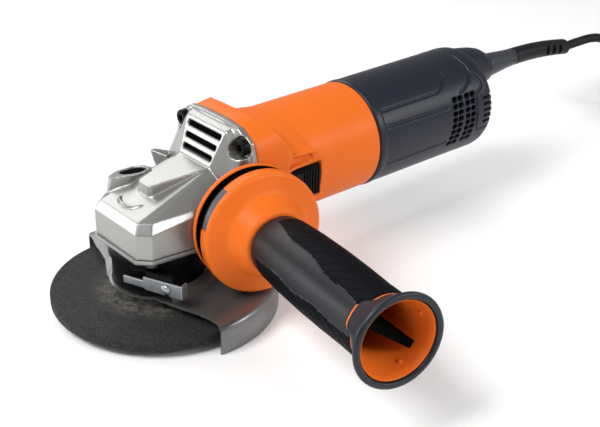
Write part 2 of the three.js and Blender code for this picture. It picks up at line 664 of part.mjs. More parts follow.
// Rear cover: a round sleeve with a closed end, air slots and a cone where the cord leaves.
function rearCover() {
  const r = COVER_RADIUS;
  const sleeve = turnedAlongX([[0, HOUSING_END_X + GAP], [r - 0.9, HOUSING_END_X + GAP],
    [r - 0.2, HOUSING_END_X + 1.6], [r, HOUSING_END_X + 16], [r - 0.3, 222], [r - 0.5, 236],
    [r - 1.6, 240], [r - 4.2, COVER_END_X], [0, COVER_END_X]]);
  const cone = loft([0, 1, 2, 3, 4].map((k) => {
    const x = [214, 236, 250, 262, 268][k];
    const radius = [9, 12.6, 12, 10, 8.8][k];
    const z = [77, 78.4, 78.4, 77, 75.6][k];
    const ring = [];
    for (let i = 0; i < 32; i += 1) {
      const angle = 2 * Math.PI * i / 32;
      ring.push([x, radius * Math.cos(angle), z + radius * Math.sin(angle)]);
    }
    return ring;
  }));
  const hollow = turnedAlongX([[0, 140], [COVER_BORE, 140], [COVER_BORE, 236], [28, 238.6], [0, 238.6]]);
  const cordWay = rod(6.2, [230, 0, 75.5], [270, 0, 75.5], 24);
  const slots = [];
  for (const side of [-1, 1]) {
    for (let row = 0; row < 6; row += 1) {
      const z = 46 + row * 5.3;
      for (const x of [205, 217.4]) {
        const [y0, y1] = side < 0 ? [-36, -23] : [23, 36];
        slots.push(boxOf([x, y0, z], [x + 8, y1, z + 3]));
      }
    }
    for (let row = 0; row < 3; row += 1) {
      const z = 50 + row * 6;
      const [y0, y1] = side < 0 ? [-36, -20] : [20, 36];
      slots.push(boxOf([235.4, y0, z], [244, y1, z + 3]));
    }
  }
  add('rear_cover', cut(join(sleeve, cone), hollow, cordWay, ...slots), CHARCOAL);
}

function rearElectrics() {
  const body = boxOf([160.6, -28, 50], [186, -8, 72]);
  add('switch_unit', cut(body, boxOf([159, -29, 54], [166, -24.6, 62])), BLACK);
  const bridge = cut(boxOf([222, -13, 66], [229, 13, 71.6]), rod(3.5, [220, 0, 75.2], [232, 0, 75.2], 20));
  add('cord_clamp', bridge, BLACK);
}

// Cord guard: a stub that sits on the cover's cone and a tapered boot that bends a little.
function cordGuard() {
  const hole = CORD_RADIUS + GAP;
  const stub = toGeometry(turned([[hole, 268.4], [8.2, 268.4], [7.6, 276], [6.2, 290], [5.9, 298.2],
    [hole, 298.2]], ROUND));
  stub.rotateY(Math.PI / 2);
  stub.translate(0, 0, 75.5);
  add('cord_guard_stub', toSolid(stub), GREY);
  const rings = (radius) => [0, 1, 2, 3, 4, 5].map((k) => {
    const [x, z, r] = [298.5 + 11.3 * k, 75.5 - 0.216 * k * k, radius(k)];
    const ring = [];
    for (let i = 0; i < 16; i += 1) {
      const angle = 2 * Math.PI * i / 16;
      ring.push([x, r * Math.cos(angle), z + r * Math.sin(angle)]);
    }
    return ring;
  });
  const outer = loft(rings((k) => 5.8 - 0.08 * k));
  const inner = rings(() => hole);
  inner[0].forEach((p) => { p[0] -= 1; });
  inner[5].forEach((p) => { p[0] += 1; });
  const notches = [];
  for (const x of [330, 337, 344]) {
    notches.push(boxOf([x, -8, 66], [x + 3.2, -4.2, 80]), boxOf([x, 4.2, 66], [x + 3.2, 8, 80]));
  }
  add('cord_guard_boot', cut(outer, loft(inner), ...notches), RUBBER);
}

// The cord lies free behind the tool: it hangs to the floor, then lies in a coil by its plug.
const CORD_Z = FLOOR_Z + CORD_RADIUS + 0.1;
const CORD_ROUTE = [[355.3, 0, 70.05], [372, 0, 69.9], [388, 0, 69.2], [401, 0, 65.6], [413, 0, 57.5],
  [421.5, 0, 46], [427.5, 0, 33], [433.5, 0, 20.5], [442, 0, 8.8], [452, 0, 1.4], [460.4, 0, -0.8]];
const PLUG_RADIUS = 18;

function cord() {
  const points = (list) => list.map((p) => new THREE.Vector3(...p));
  add('cord_lead', sweep(points(CORD_ROUTE), CORD_RADIUS, 10, 22), RUBBER);
  const inner = COIL_OUTER_TURN - COIL_PITCH - CORD_RADIUS;
  const outer = COIL_OUTER_TURN + CORD_RADIUS;
  const top = CORD_Z + (COIL_LAYERS - 1) * COIL_PITCH + CORD_RADIUS;
  const coil = toGeometry(turned([[inner, FLOOR_Z + 0.1], [outer, FLOOR_Z + 0.1], [outer, top],
    [inner, top]]));
  coil.translate(...COIL_CENTRE, 0);
  add('cord_coil', coil, RUBBER);
}

// The plug lies on the floor with its neck against the outside of the coil.
function plug() {
  const profile = [[0, 0], [4.4, 0], [6.5, 5], [11, 13], [PLUG_RADIUS, 22], [PLUG_RADIUS, 41], [0, 41]];
  const body = toGeometry(turned(profile, ROUND));
  body.rotateX(Math.PI / 2);
  const slot = boxOf([-14, -42, -3.5], [14, -38.4, 3.5]);
  const bridge = boxOf([-13.6, -41, -3.1], [13.6, -38.8, 3.1]);
  const holes = [-1, 1].map((side) => rod(2.8, [side * 9.5, -30, 0], [side * 9.5, -39, 0], 16));
  const pins = [-1, 1].map((side) => rod(2.4, [side * 9.5, -30.4, 0], [side * 9.5, -60, 0], 16));
  const place = [COIL_CENTRE[0] + COIL_OUTER_TURN, COIL_CENTRE[1] - 26.6, FLOOR_Z + PLUG_RADIUS + 0.1];
  add('mains_plug', cut(toSolid(body), slot, ...holes), BLACK).position.set(...place);
  add('plug_pins', join(bridge, ...pins), BRASS).position.set(...place);
}

// Side handle, built along its own axis from its seat on the gear head.
function sideHandle() {
  const handle = new THREE.Group();
  handle.position.set(...HANDLE_BASE);
  handle.quaternion.setFromUnitVectors(Z_AXIS, handleAxis(-1));
  group.add(handle);
  const bolt = turned([[0, -12], [3.8, -12], [3.8, 2], [3.8, 46], [6.4, 46.3], [6.4, 52], [0, 52]], 20);
  add('handle_bolt', bolt, STEEL, handle);
  const seat = HANDLE_SEAT + GAP;
  const base = turned([[4.2, seat], [HANDLE_RING_RADIUS, seat], [HANDLE_RING_RADIUS, seat + 1.5],
    [30, 7.9], [4.2, 7.9]], FINE);
  add('handle_base_ring', base, ORANGE, handle);
  add('handle_damper', turned([[4.2, 8.2], [30.6, 8.2], [30.6, 11.1], [4.2, 11.1]], FINE), RUBBER, handle);
  add('handle_spacer', turned([[4.2, 11.4], [31.4, 11.4], [31.4, 15.8], [4.2, 15.8]], FINE), GREY, handle);
  handleCore(handle);
  const grip = turned([[15.3, 39.7], [17.4, 39.7], [17.9, 48], [18.9, 66], [19.2, 88], [19, 108],
    [18.6, 126], [18.8, 137], [16.9, 137], [16.9, 112], [15.3, 108]], FINE);
  add('handle_grip', grip, CHARCOAL, handle);
  const bumper = turned([[19.6, 139.2], [20.6, 142], [23.4, 149], [HANDLE_MOUTH_RADIUS, 152],
    [HANDLE_MOUTH_RADIUS, HANDLE_LENGTH - 0.8], [HANDLE_MOUTH_RADIUS - 0.9, HANDLE_LENGTH],
    [21.6, HANDLE_LENGTH], [21.6, 147], [18, 139.2]], FINE);
  add('handle_bumper', bumper, CHARCOAL, handle);
  storedKey(handle);
}

function handleCore(handle) {
  const r = HANDLE_FLANGE_RADIUS;
  const flange = turned([[r - 2, 16.4], [r, 17], [r, 23.6], [r - 1.2, 24.6], [27, 26.2], [21.5, 30],
    [18.2, 36.2], [17.6, 39.4], [15, 39.4], [15, 107.7], [16.6, 111.8], [16.6, 137.2], [19.2, 137.4], [19.2, 138.8],
    [17.7, 138.9], [17.7, 139.6], [21.3, 147.1], [21.3, HANDLE_LENGTH - 1.4], [20.2, HANDLE_LENGTH - 1.4],
    [20.2, 147.4], [15.4, 137], [13.8, 96], [4.2, 96], [4.2, 52.4], [6.8, 52.4], [6.8, 46], [4.2, 45.6],
    [4.2, 21.2], [r - 2, 21.2]], FINE);
  const notch = hull([[-40, -8, 15], [-40, -8, 21.4], [-18, 34, 15], [-18, 34, 21.4],
    [-20, -4, 15], [-20, -4, 21.4], [-8, 20, 15], [-8, 20, 21.4]]);
  add('handle_core', cut(flange, notch), ORANGE, handle);
}

// A flat pin spanner for the clamp nut, kept in the hollow end of the handle.
function storedKey(handle) {
  const outline = [[-16.5, 146], [-14.5, 138], [-12.4, 120], [-12, 98], [12, 98], [12.4, 120],
    [14.5, 138], [16.5, 146]];
  const key = toGeometry(plate(outline, -2.2, 2.2));
  key.rotateX(Math.PI / 2);
  key.rotateZ(KEY_TILT);
  add('stored_key', toSolid(key), BLACK, handle);
}

gearHousing();
bearingCover();
guardNeck();
housingScrews();
spindleSet();
grindingDisc();
guard();
guardLever();
lockButton();
motorHousing();
switchSlider();
armature();
stator();
brushGear();
rearCover();
rearElectrics();
cordGuard();
cord();
plug();
sideHandle();

export default group;
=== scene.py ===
"""Looks of the corded angle grinder: camera, light, cord, detailed pieces and materials.

Shapes are given in millimetres in the CAD model's frame and become metres when a mesh is made.
+X runs back along the motor, -Y towards the side handle, and Z is up from the spindle's end.
"""
import itertools
import json
import math

import bmesh
import bpy
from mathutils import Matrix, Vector

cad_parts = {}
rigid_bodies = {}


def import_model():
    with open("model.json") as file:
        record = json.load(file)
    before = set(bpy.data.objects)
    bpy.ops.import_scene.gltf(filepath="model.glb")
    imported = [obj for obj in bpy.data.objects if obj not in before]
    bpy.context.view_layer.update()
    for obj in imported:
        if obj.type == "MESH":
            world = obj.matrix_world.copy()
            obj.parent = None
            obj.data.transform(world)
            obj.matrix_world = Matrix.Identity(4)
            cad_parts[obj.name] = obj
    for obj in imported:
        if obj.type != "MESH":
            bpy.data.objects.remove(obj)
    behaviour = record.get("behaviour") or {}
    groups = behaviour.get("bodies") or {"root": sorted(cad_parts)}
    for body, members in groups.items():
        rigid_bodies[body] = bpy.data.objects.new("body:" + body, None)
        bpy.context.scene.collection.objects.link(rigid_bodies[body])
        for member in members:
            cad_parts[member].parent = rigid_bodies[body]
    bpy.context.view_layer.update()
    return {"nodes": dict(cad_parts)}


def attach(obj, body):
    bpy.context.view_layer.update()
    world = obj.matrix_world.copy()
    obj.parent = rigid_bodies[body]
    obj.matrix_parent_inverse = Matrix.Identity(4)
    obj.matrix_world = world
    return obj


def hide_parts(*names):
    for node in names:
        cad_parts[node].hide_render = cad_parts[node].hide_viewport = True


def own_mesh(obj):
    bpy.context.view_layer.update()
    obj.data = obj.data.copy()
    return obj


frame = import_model()

MM = 0.001
FLOOR = -4.7
MOTOR_Z = 60.8
HANDLE_BASE = Vector((38.4, -31, 49.2))
HANDLE_AXIS = Vector((-math.tan(math.radians(10.5)), -1, math.tan(math.radians(2.5)))).normalized()
BODY = "tool_body"
X_AXIS = (1, 0, 0)
MOTOR_CENTRE = (0, 0, MOTOR_Z)
BARREL = 33.4
BORE = 30.6
CORD_Z = 75.5
BEARING_SEAT = 16.4
HEAD_SCREWS = [(27.6, 90.2), (-27.6, 90.2), (26.5, 34.5), (-26.5, 34.5)]
COVER_SCREWS = [(-17.5, 20.5), (-17.5, -20.5), (16, 26.6), (16, -26.6)]


# ---------------------------------------------------------------- camera, floor and light

def make_camera():
    """A fixed view from the front, off to the handle's side and above."""
    back = Vector((-0.5565, -0.6877, 0.4664))
    data = bpy.data.cameras.new("camera")
    data.lens = 72
    data.sensor_width = 36
    data.shift_x = 0.0628
    data.shift_y = 0.0067
    camera = bpy.data.objects.new("camera", data)
    camera.location = Vector((-328.67, -501.21, 363.34)) * MM
    camera.rotation_mode = "QUATERNION"
    camera.rotation_quaternion = (-back).to_track_quat("-Z", "Y")
    bpy.context.scene.collection.objects.link(camera)
    bpy.context.scene.camera = camera


def make_floor():
    mesh = bpy.data.meshes.new("floor")
    half = 4000 * MM
    z = FLOOR * MM
    corners = [(-half, -half, z), (half, -half, z), (half, half, z), (-half, half, z)]
    mesh.from_pydata(corners, [], [(0, 1, 2, 3)])
    floor = bpy.data.objects.new("floor", mesh)
    bpy.context.scene.collection.objects.link(floor)
    floor.data.materials.append(floor_material())


def floor_material():
    material, nodes, links, shader = new_material("floor_paper")
    shader.inputs["Roughness"].default_value = 0.9
    shader.inputs["Specular IOR Level"].default_value = 0.1
    noise = add_noise(nodes, links, 3, 2)
    ramp = add_ramp(nodes, links, noise, [(0.3, (0.93, 0.93, 0.93)), (0.7, (0.95, 0.95, 0.95))])
    links.new(ramp, shader.inputs["Base Color"])
    return material


def area_light(name, place, aim, size, power):
    """A soft rectangular lamp; place, aim and size are in metres and power in watts."""
    data = bpy.data.lights.new(name, "AREA")
    data.shape = "RECTANGLE"
    data.size, data.size_y = size
    data.energy = power
    light = bpy.data.objects.new(name, data)
    light.location = Vector(place)
    light.rotation_mode = "QUATERNION"
    light.rotation_quaternion = (Vector(aim) - Vector(place)).to_track_quat("-Z", "Y")
    bpy.context.scene.collection.objects.link(light)


def make_light():
    """A dim white room and five lamps, set where the castings' flat faces mirror them."""
    world = bpy.data.worlds.new("studio")
    bpy.context.scene.world = world
    world.use_nodes = True
    background = world.node_tree.nodes["Background"]
    background.inputs["Color"].default_value = (1, 1, 1, 1)
    background.inputs["Strength"].default_value = 0.3
    area_light("key", (-0.75, 0.05, 1.0), (0.05, 0, 0.05), (0.6, 0.5), 13)
    area_light("side", (0.9, -1.1, 0.7), (0.15, 0, 0.05), (0.9, 0.3), 8)
    area_light("rim", (0.15, 1.0, 0.8), (0.05, 0, 0.05), (1.0, 0.5), 6)
    area_light("left", (-0.85, 1.05, 0.27), (0, 0, 0.06), (0.55, 0.35), 5)
    area_light("front", (0.25, -1.1, 0.78), (0, 0, 0.06), (0.4, 0.25), 4)
    bpy.context.scene.view_settings.view_transform = "Standard"


# ---------------------------------------------------------------- material nodes

def new_material(name):
    material = bpy.data.materials.new(name)
    material.use_nodes = True
    nodes = material.node_tree.nodes
    return material, nodes, material.node_tree.links, nodes["Principled BSDF"]


def add_noise(nodes, links, scale, detail, stretch=(1, 1, 1)):
    """Noise over the piece's own shape; scale counts features in a metre."""
    place = nodes.new("ShaderNodeTexCoord")
    mapping = nodes.new("ShaderNodeMapping")
    mapping.inputs["Scale"].default_value = stretch
    noise = nodes.new("ShaderNodeTexNoise")
    noise.inputs["Scale"].default_value = scale
    noise.inputs["Detail"].default_value = detail
    noise.inputs["Roughness"].default_value = 0.6
    links.new(place.outputs["Object"], mapping.inputs["Vector"])
    links.new(mapping.outputs["Vector"], noise.inputs["Vector"])
    return noise.outputs["Fac"]


def add_ramp(nodes, links, value, stops):
    ramp = nodes.new("ShaderNodeValToRGB")
    elements = ramp.color_ramp.elements
    while len(elements) < len(stops):
        elements.new(0.5)
    for element, (position, color) in zip(elements, stops):
        element.position = position
        element.color = (*color, 1)
    links.new(value, ramp.inputs["Fac"])
    return ramp.outputs["Color"]


def add_range(nodes, links, value, low, high):
    spread = nodes.new("ShaderNodeMapRange")
    spread.inputs["From Min"].default_value = 0.3
    spread.inputs["From Max"].default_value = 0.7
    spread.inputs["To Min"].default_value = low
    spread.inputs["To Max"].default_value = high
    links.new(value, spread.inputs["Value"])
    return spread.outputs["Result"]


def add_bump(nodes, links, value, strength, distance, before=None):
    bump = nodes.new("ShaderNodeBump")
    bump.inputs["Strength"].default_value = strength
    bump.inputs["Distance"].default_value = distance
    links.new(value, bump.inputs["Height"])
    if before is not None:
        links.new(before, bump.inputs["Normal"])
    return bump.outputs["Normal"]


def shade(color, factor):
    return tuple(min(1, channel * factor) for channel in color)


def surface(name, color, rough, metal=0.0, grain=900, bump=0.15, spread=0.12, gloss=0.5,
            stretch=(1, 1, 1)):
    """A finish with blotchy tone, varying roughness, fine grain and a slow unevenness."""
    material, nodes, links, shader = new_material(name)
    blotch = add_noise(nodes, links, 38, 4)
    fine = add_noise(nodes, links, grain, 5, stretch)
    slow = add_noise(nodes, links, 120, 2)
    stops = [(0.25, shade(color, 1 - spread)), (0.5, color), (0.78, shade(color, 1 + spread))]
    links.new(add_ramp(nodes, links, blotch, stops), shader.inputs["Base Color"])
    links.new(add_range(nodes, links, fine, rough * 0.85, min(1, rough * 1.2)), shader.inputs["Roughness"])
    shader.inputs["Metallic"].default_value = metal
    shader.inputs["Specular IOR Level"].default_value = gloss
    uneven = add_bump(nodes, links, slow, 0.08, 0.0004)
    links.new(add_bump(nodes, links, fine, bump, 0.0002, uneven), shader.inputs["Normal"])
    return material


def cast_metal():
    """Die-cast aluminium: pale, with sandy grain, small pores and duller patches."""
    material = surface("cast_aluminium", (0.34, 0.34, 0.33), 0.33, 0.75, grain=1500, bump=0.1, spread=0.08)
    nodes, links = material.node_tree.nodes, material.node_tree.links
    shader = nodes["Principled BSDF"]
    pores = nodes.new("ShaderNodeTexVoronoi")
    pores.inputs["Scale"].default_value = 700
    place = nodes.new("ShaderNodeTexCoord")
    links.new(place.outputs["Object"], pores.inputs["Vector"])
    before = shader.inputs["Normal"].links[0].from_socket
    pitted = add_bump(nodes, links, pores.outputs["Distance"], 0.07, 0.0002, before)
    links.new(pitted, shader.inputs["Normal"])
    return material


def centre_mask(nodes, links, point, full, none):
    """1 up to one distance from the disc's axis, fading to 0 at another, both in metres."""
    flat = nodes.new("ShaderNodeVectorMath")
    flat.operation = "MULTIPLY"
    flat.inputs[1].default_value = (1, 1, 0)
    radius = nodes.new("ShaderNodeVectorMath")
    radius.operation = "LENGTH"
    links.new(point, flat.inputs[0])
    links.new(flat.outputs["Vector"], radius.inputs[0])
    fade = nodes.new("ShaderNodeMapRange")
    fade.inputs["From Min"].default_value = full
    fade.inputs["From Max"].default_value = none
    fade.inputs["To Min"].default_value = 1
    fade.inputs["To Max"].default_value = 0
    links.new(radius.outputs["Value"], fade.inputs["Value"])
    return fade.outputs["Result"]


def abrasive():
    """Resin bonded grit: nearly black, with paler grains and scuffs near the middle."""
    material, nodes, links, shader = new_material("abrasive")
    grit = nodes.new("ShaderNodeTexVoronoi")
    grit.inputs["Scale"].default_value = 900
    place = nodes.new("ShaderNodeTexCoord")
    links.new(place.outputs["Object"], grit.inputs["Vector"])
    stops = [(0.0, (0.04, 0.038, 0.036)), (0.45, (0.02, 0.019, 0.019)), (0.9, (0.009, 0.009, 0.009))]
    tone = add_ramp(nodes, links, grit.outputs["Distance"], stops)
    patches = add_noise(nodes, links, 260, 6)
    wear = nodes.new("ShaderNodeMath")
    wear.operation = "MULTIPLY"
    links.new(add_range(nodes, links, patches, -0.2, 0.75), wear.inputs[0])
    links.new(centre_mask(nodes, links, place.outputs["Object"], 0.03, 0.041), wear.inputs[1])
    mix = nodes.new("ShaderNodeMixRGB")
    mix.inputs["Color2"].default_value = (0.16, 0.15, 0.13, 1)
    links.new(wear.outputs["Value"], mix.inputs["Fac"])
    links.new(tone, mix.inputs["Color1"])
    links.new(mix.outputs["Color"], shader.inputs["Base Color"])
    links.new(add_range(nodes, links, patches, 0.6, 0.85), shader.inputs["Roughness"])
    shader.inputs["Specular IOR Level"].default_value = 0.3
    coarse = add_bump(nodes, links, grit.outputs["Distance"], 0.55, 0.0005)
    links.new(add_bump(nodes, links, add_noise(nodes, links, 420, 6), 0.5, 0.0006, coarse),
              shader.inputs["Normal"])
    return material


MATERIALS = {
    "cast": cast_metal(),
    "guard": surface("guard_steel", (0.2, 0.2, 0.205), 0.33, 0.75, grain=1100, bump=0.05, spread=0.08,
                     stretch=(1, 1, 0.15)),
    "steel": surface("bright_steel", (0.36, 0.38, 0.4), 0.3, 0.85, grain=420, bump=0.003, spread=0.06),
    "dark_steel": surface("dark_steel", (0.07, 0.07, 0.075), 0.38, 0.7, grain=1200, bump=0.1),
    "brass": surface("brass", (0.72, 0.53, 0.24), 0.25, 0.95, grain=1500, bump=0.05),
    "copper": surface("copper", (0.55, 0.22, 0.09), 0.35, 0.9, grain=2600, bump=0.4, stretch=(0.2, 1, 1)),
    "abrasive": abrasive(),
    "orange": surface("orange_plastic", (0.73, 0.142, 0.015), 0.38, grain=2200, bump=0.05, spread=0.04,
                      gloss=0.12),
    "charcoal": surface("charcoal_plastic", (0.012, 0.014, 0.023), 0.36, grain=2600, bump=0.14, spread=0.1,
                        gloss=0.28),
    "black": surface("black_plastic", (0.004, 0.004, 0.0045), 0.36, grain=2200, bump=0.1, spread=0.2,
                     gloss=0.1),
    # Near-black and matte: painted shade on the sheets behind the vents, and the plain black of the stored
    # key, damper and lock cap.
    "black_and_painted_shade": surface("shadowed_black", (0.002, 0.002, 0.002), 0.9, grain=2200, bump=0.1, spread=0.2,
                    gloss=0.02),
    "grip": surface("grip_rubber", (0.004, 0.0045, 0.006), 0.5, grain=3000, bump=0.25, spread=0.15,
                    gloss=0.03),
    "band": surface("grip_band", (0.007, 0.008, 0.011), 0.4, grain=2600, bump=0.06, spread=0.08,
                    gloss=0.25),
    "lip": surface("handle_lip", (0.011, 0.014, 0.02), 0.34, grain=2600, bump=0.1, spread=0.08,
                   gloss=0.3),
    "grey": surface("grey_plastic", (0.085, 0.095, 0.11), 0.38, grain=2400, bump=0.1, spread=0.08,
                    gloss=0.3),
    "stub": surface("stub_plastic", (0.035, 0.038, 0.045), 0.38, grain=2400, bump=0.1, spread=0.1,
                    gloss=0.3),
    "rubber": surface("cord_rubber", (0.007, 0.007, 0.009), 0.42, grain=2600, bump=0.15, spread=0.15,
                      gloss=0.22),
    "carbon": surface("carbon", (0.03, 0.03, 0.03), 0.7, grain=1800, bump=0.2),
    "insulation": surface("insulation", (0.5, 0.43, 0.28), 0.6, grain=1500, bump=0.1),
}


# ---------------------------------------------------------------- mesh helpers

def mesh_piece(name, points, faces, material=None):
    """A new object from points in millimetres."""
    mesh = bpy.data.meshes.new(name)
    mesh.from_pydata([tuple(c * MM for c in p) for p in points], [], faces)
    mesh.update()
    piece = bpy.data.objects.new(name, mesh)
    bpy.context.scene.collection.objects.link(piece)
    if material:
        mesh.materials.append(MATERIALS[material])
    mesh.shade_smooth()
    return piece


def hull(points):
    """The tightest convex solid round some points."""
    work = bmesh.new()
    for p in points:
        work.verts.new([c * MM for c in p])
    result = bmesh.ops.convex_hull(work, input=list(work.verts))
    loose = [v for v in result["geom_interior"] if isinstance(v, bmesh.types.BMVert)]
    bmesh.ops.delete(work, geom=loose, context="VERTS")
    bmesh.ops.recalc_face_normals(work, faces=list(work.faces))
    mesh = bpy.data.meshes.new("hull")
    work.to_mesh(mesh)
    work.free()
    piece = bpy.data.objects.new("hull", mesh)
    bpy.context.scene.collection.objects.link(piece)
    return piece


def box(low, high):
    """A block between two opposite corners."""
    return hull(list(itertools.product(*zip(low, high))))


def turned(name, profile, base=(0, 0, 0), axis=(0, 0, 1), around=96):
    """A closed [radius, height] profile turned about an axis through base."""
    axis = Vector(axis).normalized()
    side = axis.orthogonal().normalized()
    other = axis.cross(side)
    base = Vector(base)
    points, rows = [], []
    for r, h in profile:
        if r == 0:
            rows.append([len(points)] * around)
            points.append(base + axis * h)
            continue
        rows.append(list(range(len(points), len(points) + around)))
        for k in range(around):
            angle = 2 * math.pi * k / around
            points.append(base + axis * h + (side * math.cos(angle) + other * math.sin(angle)) * r)
    faces = []
    closed = profile[0][0] > 0 or profile[-1][0] > 0
    pairs = list(zip(rows, rows[1:])) + ([(rows[-1], rows[0])] if closed else [])
    for low, high in pairs:
        for k in range(around):
            n = (k + 1) % around
            corners = [low[k], low[n], high[n], high[k]]
            face = [c for i, c in enumerate(corners) if c not in corners[:i]]
            if len(face) > 2:
                faces.append(face)
    piece = mesh_piece(name, points, faces)
    face_outwards(piece)
    return piece


def face_outwards(piece):
    work = bmesh.new()
    work.from_mesh(piece.data)
    bmesh.ops.recalc_face_normals(work, faces=list(work.faces))
    work.to_mesh(piece.data)
    work.free()


def rod(radius, start, end, around=48):
    start, end = Vector(start), Vector(end)
    length = (end - start).length
    return turned("rod", [(0, 0), (radius, 0), (radius, length), (0, length)], start, end - start,
                  around=around)


def circle(x, z, radius, around):
    """A ring of points about a line that runs along X."""
    turns = [2 * math.pi * k / around for k in range(around)]
    return [(x, radius * math.cos(t), z + radius * math.sin(t)) for t in turns]


def loft(name, rings):
    """Rings of equal count joined into one closed skin."""
    around = len(rings[0])
    points = [p for ring in rings for p in ring]
    faces = [list(range(around))[::-1], list(range(len(points) - around, len(points)))]
    for i in range(len(rings) - 1):
        for k in range(around):
            a, b = i * around + k, i * around + (k + 1) % around
            faces.append([a, b, b + around, a + around])
    piece = mesh_piece(name, points, faces)
    face_outwards(piece)
    return piece


def prism(name, outline, low, high):
    """An [x, y] outline raised from one height to another."""
    return loft(name, [[(x, y, z) for x, y in outline] for z in (low, high)])


def settle(piece):
    """Turns a piece's modifiers into its mesh."""
    graph = bpy.context.evaluated_depsgraph_get()
    mesh = bpy.data.meshes.new_from_object(piece.evaluated_get(graph))
    old = piece.data
    piece.modifiers.clear()
    piece.data = mesh
    bpy.data.meshes.remove(old)
    return piece


def combine(piece, tools, operation):
    """Joins tools to a piece or cuts them from it, and removes them."""
    holder = bpy.data.collections.new("tools")
    bpy.context.scene.collection.children.link(holder)
    for tool in tools:
        bpy.context.scene.collection.objects.unlink(tool)
        holder.objects.link(tool)
    boolean = piece.modifiers.new("boolean", "BOOLEAN")
    boolean.operation = operation
    boolean.solver = "MANIFOLD"
    boolean.operand_type = "COLLECTION"
    boolean.collection = holder
    settle(piece)
    for tool in list(holder.objects):
        bpy.data.objects.remove(tool)
    bpy.data.collections.remove(holder)
    return piece


def join(piece, *tools):
    return combine(piece, tools, "UNION")


def cut(piece, *tools):
    return combine(piece, tools, "DIFFERENCE")


def soften(piece, voxel, passes, keep):
    """Rounds every edge a little, as a mould or a casting does, and keeps a share of the faces."""
    remesh = piece.modifiers.new("remesh", "REMESH")
    remesh.mode = "VOXEL"
    remesh.voxel_size = voxel * MM
    smooth = piece.modifiers.new("smooth", "SMOOTH")
    smooth.factor = 0.5
    smooth.iterations = passes
    fewer = piece.modifiers.new("fewer", "DECIMATE")
    fewer.ratio = keep
    settle(piece)
    piece.data.shade_smooth()
    return piece


def bevel(piece, width, segments=2, angle=30):
    edge = piece.modifiers.new("bevel", "BEVEL")
    edge.width = width * MM
    edge.segments = segments
    edge.limit_method = "ANGLE"
    edge.angle_limit = math.radians(angle)
    edge.harden_normals = True
    return piece


def dress(piece, name, material, body=BODY, nodes=()):
    """Names a finished piece, gives it its finish, hangs it on the body it rides on and hides the CAD nodes
    it stands for.
    """
    piece.name = name
    piece.data.name = name
    if material:
        piece.data.materials.clear()
        piece.data.materials.append(MATERIALS[material])
    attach(piece, body)
    if nodes:
        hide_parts(*nodes)
    return piece


# ---------------------------------------------------------------- cord

CORD_RADIUS = 3.2
INSIDE_BOOT = (343, 0, 71.9)
BOOT_END = (355.3, 0, 70.05)
CORD_ROUTE = [BOOT_END, (372, 0, 69.9), (388, 0, 69.2), (401, 0, 65.6), (413, 0, 57.5), (421.5, 0, 46),
              (427.5, 0, 33), (433.5, 0, 20.5), (442, 0, 8.8), (452, 0, 1.4), (460.4, 0, -0.8),
              (472, 0, -1.4)]
COIL_RADIUS = 41.7
COIL_CENTRE = (485, -COIL_RADIUS)
COIL_PITCH = 6.7
COIL_REST = FLOOR + CORD_RADIUS + 0.1
TURNS_UP = 5.0
TURNS = 8.25
SIDESTEP = 0.4
POINTS_IN_A_TURN = 20


def coil_point(turn):
    """The coil climbs as an inner helix, steps out at the top and comes down outside it."""
    inner = COIL_RADIUS - COIL_PITCH
    if turn < SIDESTEP:
        radius = COIL_RADIUS - COIL_PITCH * ease(turn / SIDESTEP)
    elif turn < TURNS_UP:
        radius = inner + COIL_PITCH * ease((turn - TURNS_UP + SIDESTEP) / SIDESTEP)
    else:
        radius = COIL_RADIUS
    angle = math.radians(90 - 360 * turn)
    height = COIL_REST + COIL_PITCH * (TURNS_UP - abs(TURNS_UP - turn))
    x, y = COIL_CENTRE
    return (x + radius * math.cos(angle), y + radius * math.sin(angle), height)


def ease(t):
    """A smooth step from 0 to 1."""
    t = min(1, max(0, t))
    return t * t * (3 - 2 * t)


def make_cord(plug_pieces):
    steps = round(TURNS * POINTS_IN_A_TURN)
    coil = [coil_point(k / POINTS_IN_A_TURN) for k in range(steps + 1)]
    x, y = coil[-1][:2]
    tail = [(x, y - 14, 11.9), (x, y - 27, 13.2), (x, y - 34, 13.4)]
    points = [INSIDE_BOOT] + CORD_ROUTE + coil + tail
    curve = bpy.data.curves.new("cord", "CURVE")
    curve.dimensions = "3D"
    curve.bevel_depth = CORD_RADIUS * MM
    curve.bevel_resolution = 5
    curve.resolution_u = 4
    curve.use_fill_caps = True
    spline = curve.splines.new("BEZIER")
    spline.bezier_points.add(len(points) - 1)
    for knot, point in zip(spline.bezier_points, points):
        knot.co = [c * MM for c in point]
        knot.handle_left_type = knot.handle_right_type = "AUTO"
    cord = bpy.data.objects.new("cord", curve)
    bpy.context.scene.collection.objects.link(cord)
    curve.materials.append(MATERIALS["rubber"])
    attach(cord, BODY)
    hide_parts("cord_lead", "cord_coil")


PLUG_BASE = Vector((COIL_CENTRE[0] + COIL_RADIUS, COIL_CENTRE[1] - 26.6, FLOOR + 18.1))
PLUG_AXIS = Vector((0, -1, 0))
PIN_OFFSETS = [Vector((-9.5, 0, 0)), Vector((9.5, 0, 0))]
FLUTES = 18


def make_plug():
    """A round moulded mains plug with grip flutes and two brass pins."""
    body = make_plug_body()
    profile = [(0, 0), (2.4, 0), (2.4, 27.4), (1.9, 29), (1.1, 29.8), (0, 30)]
    first, second = [turned("pin", profile, PLUG_BASE + PLUG_AXIS * 30.2 + offset, PLUG_AXIS, around=32)
                     for offset in PIN_OFFSETS]
    pins = join(first, second)
    dress(pins, "plug_contacts", "brass", nodes=("plug_pins",))
    return [body, pins]


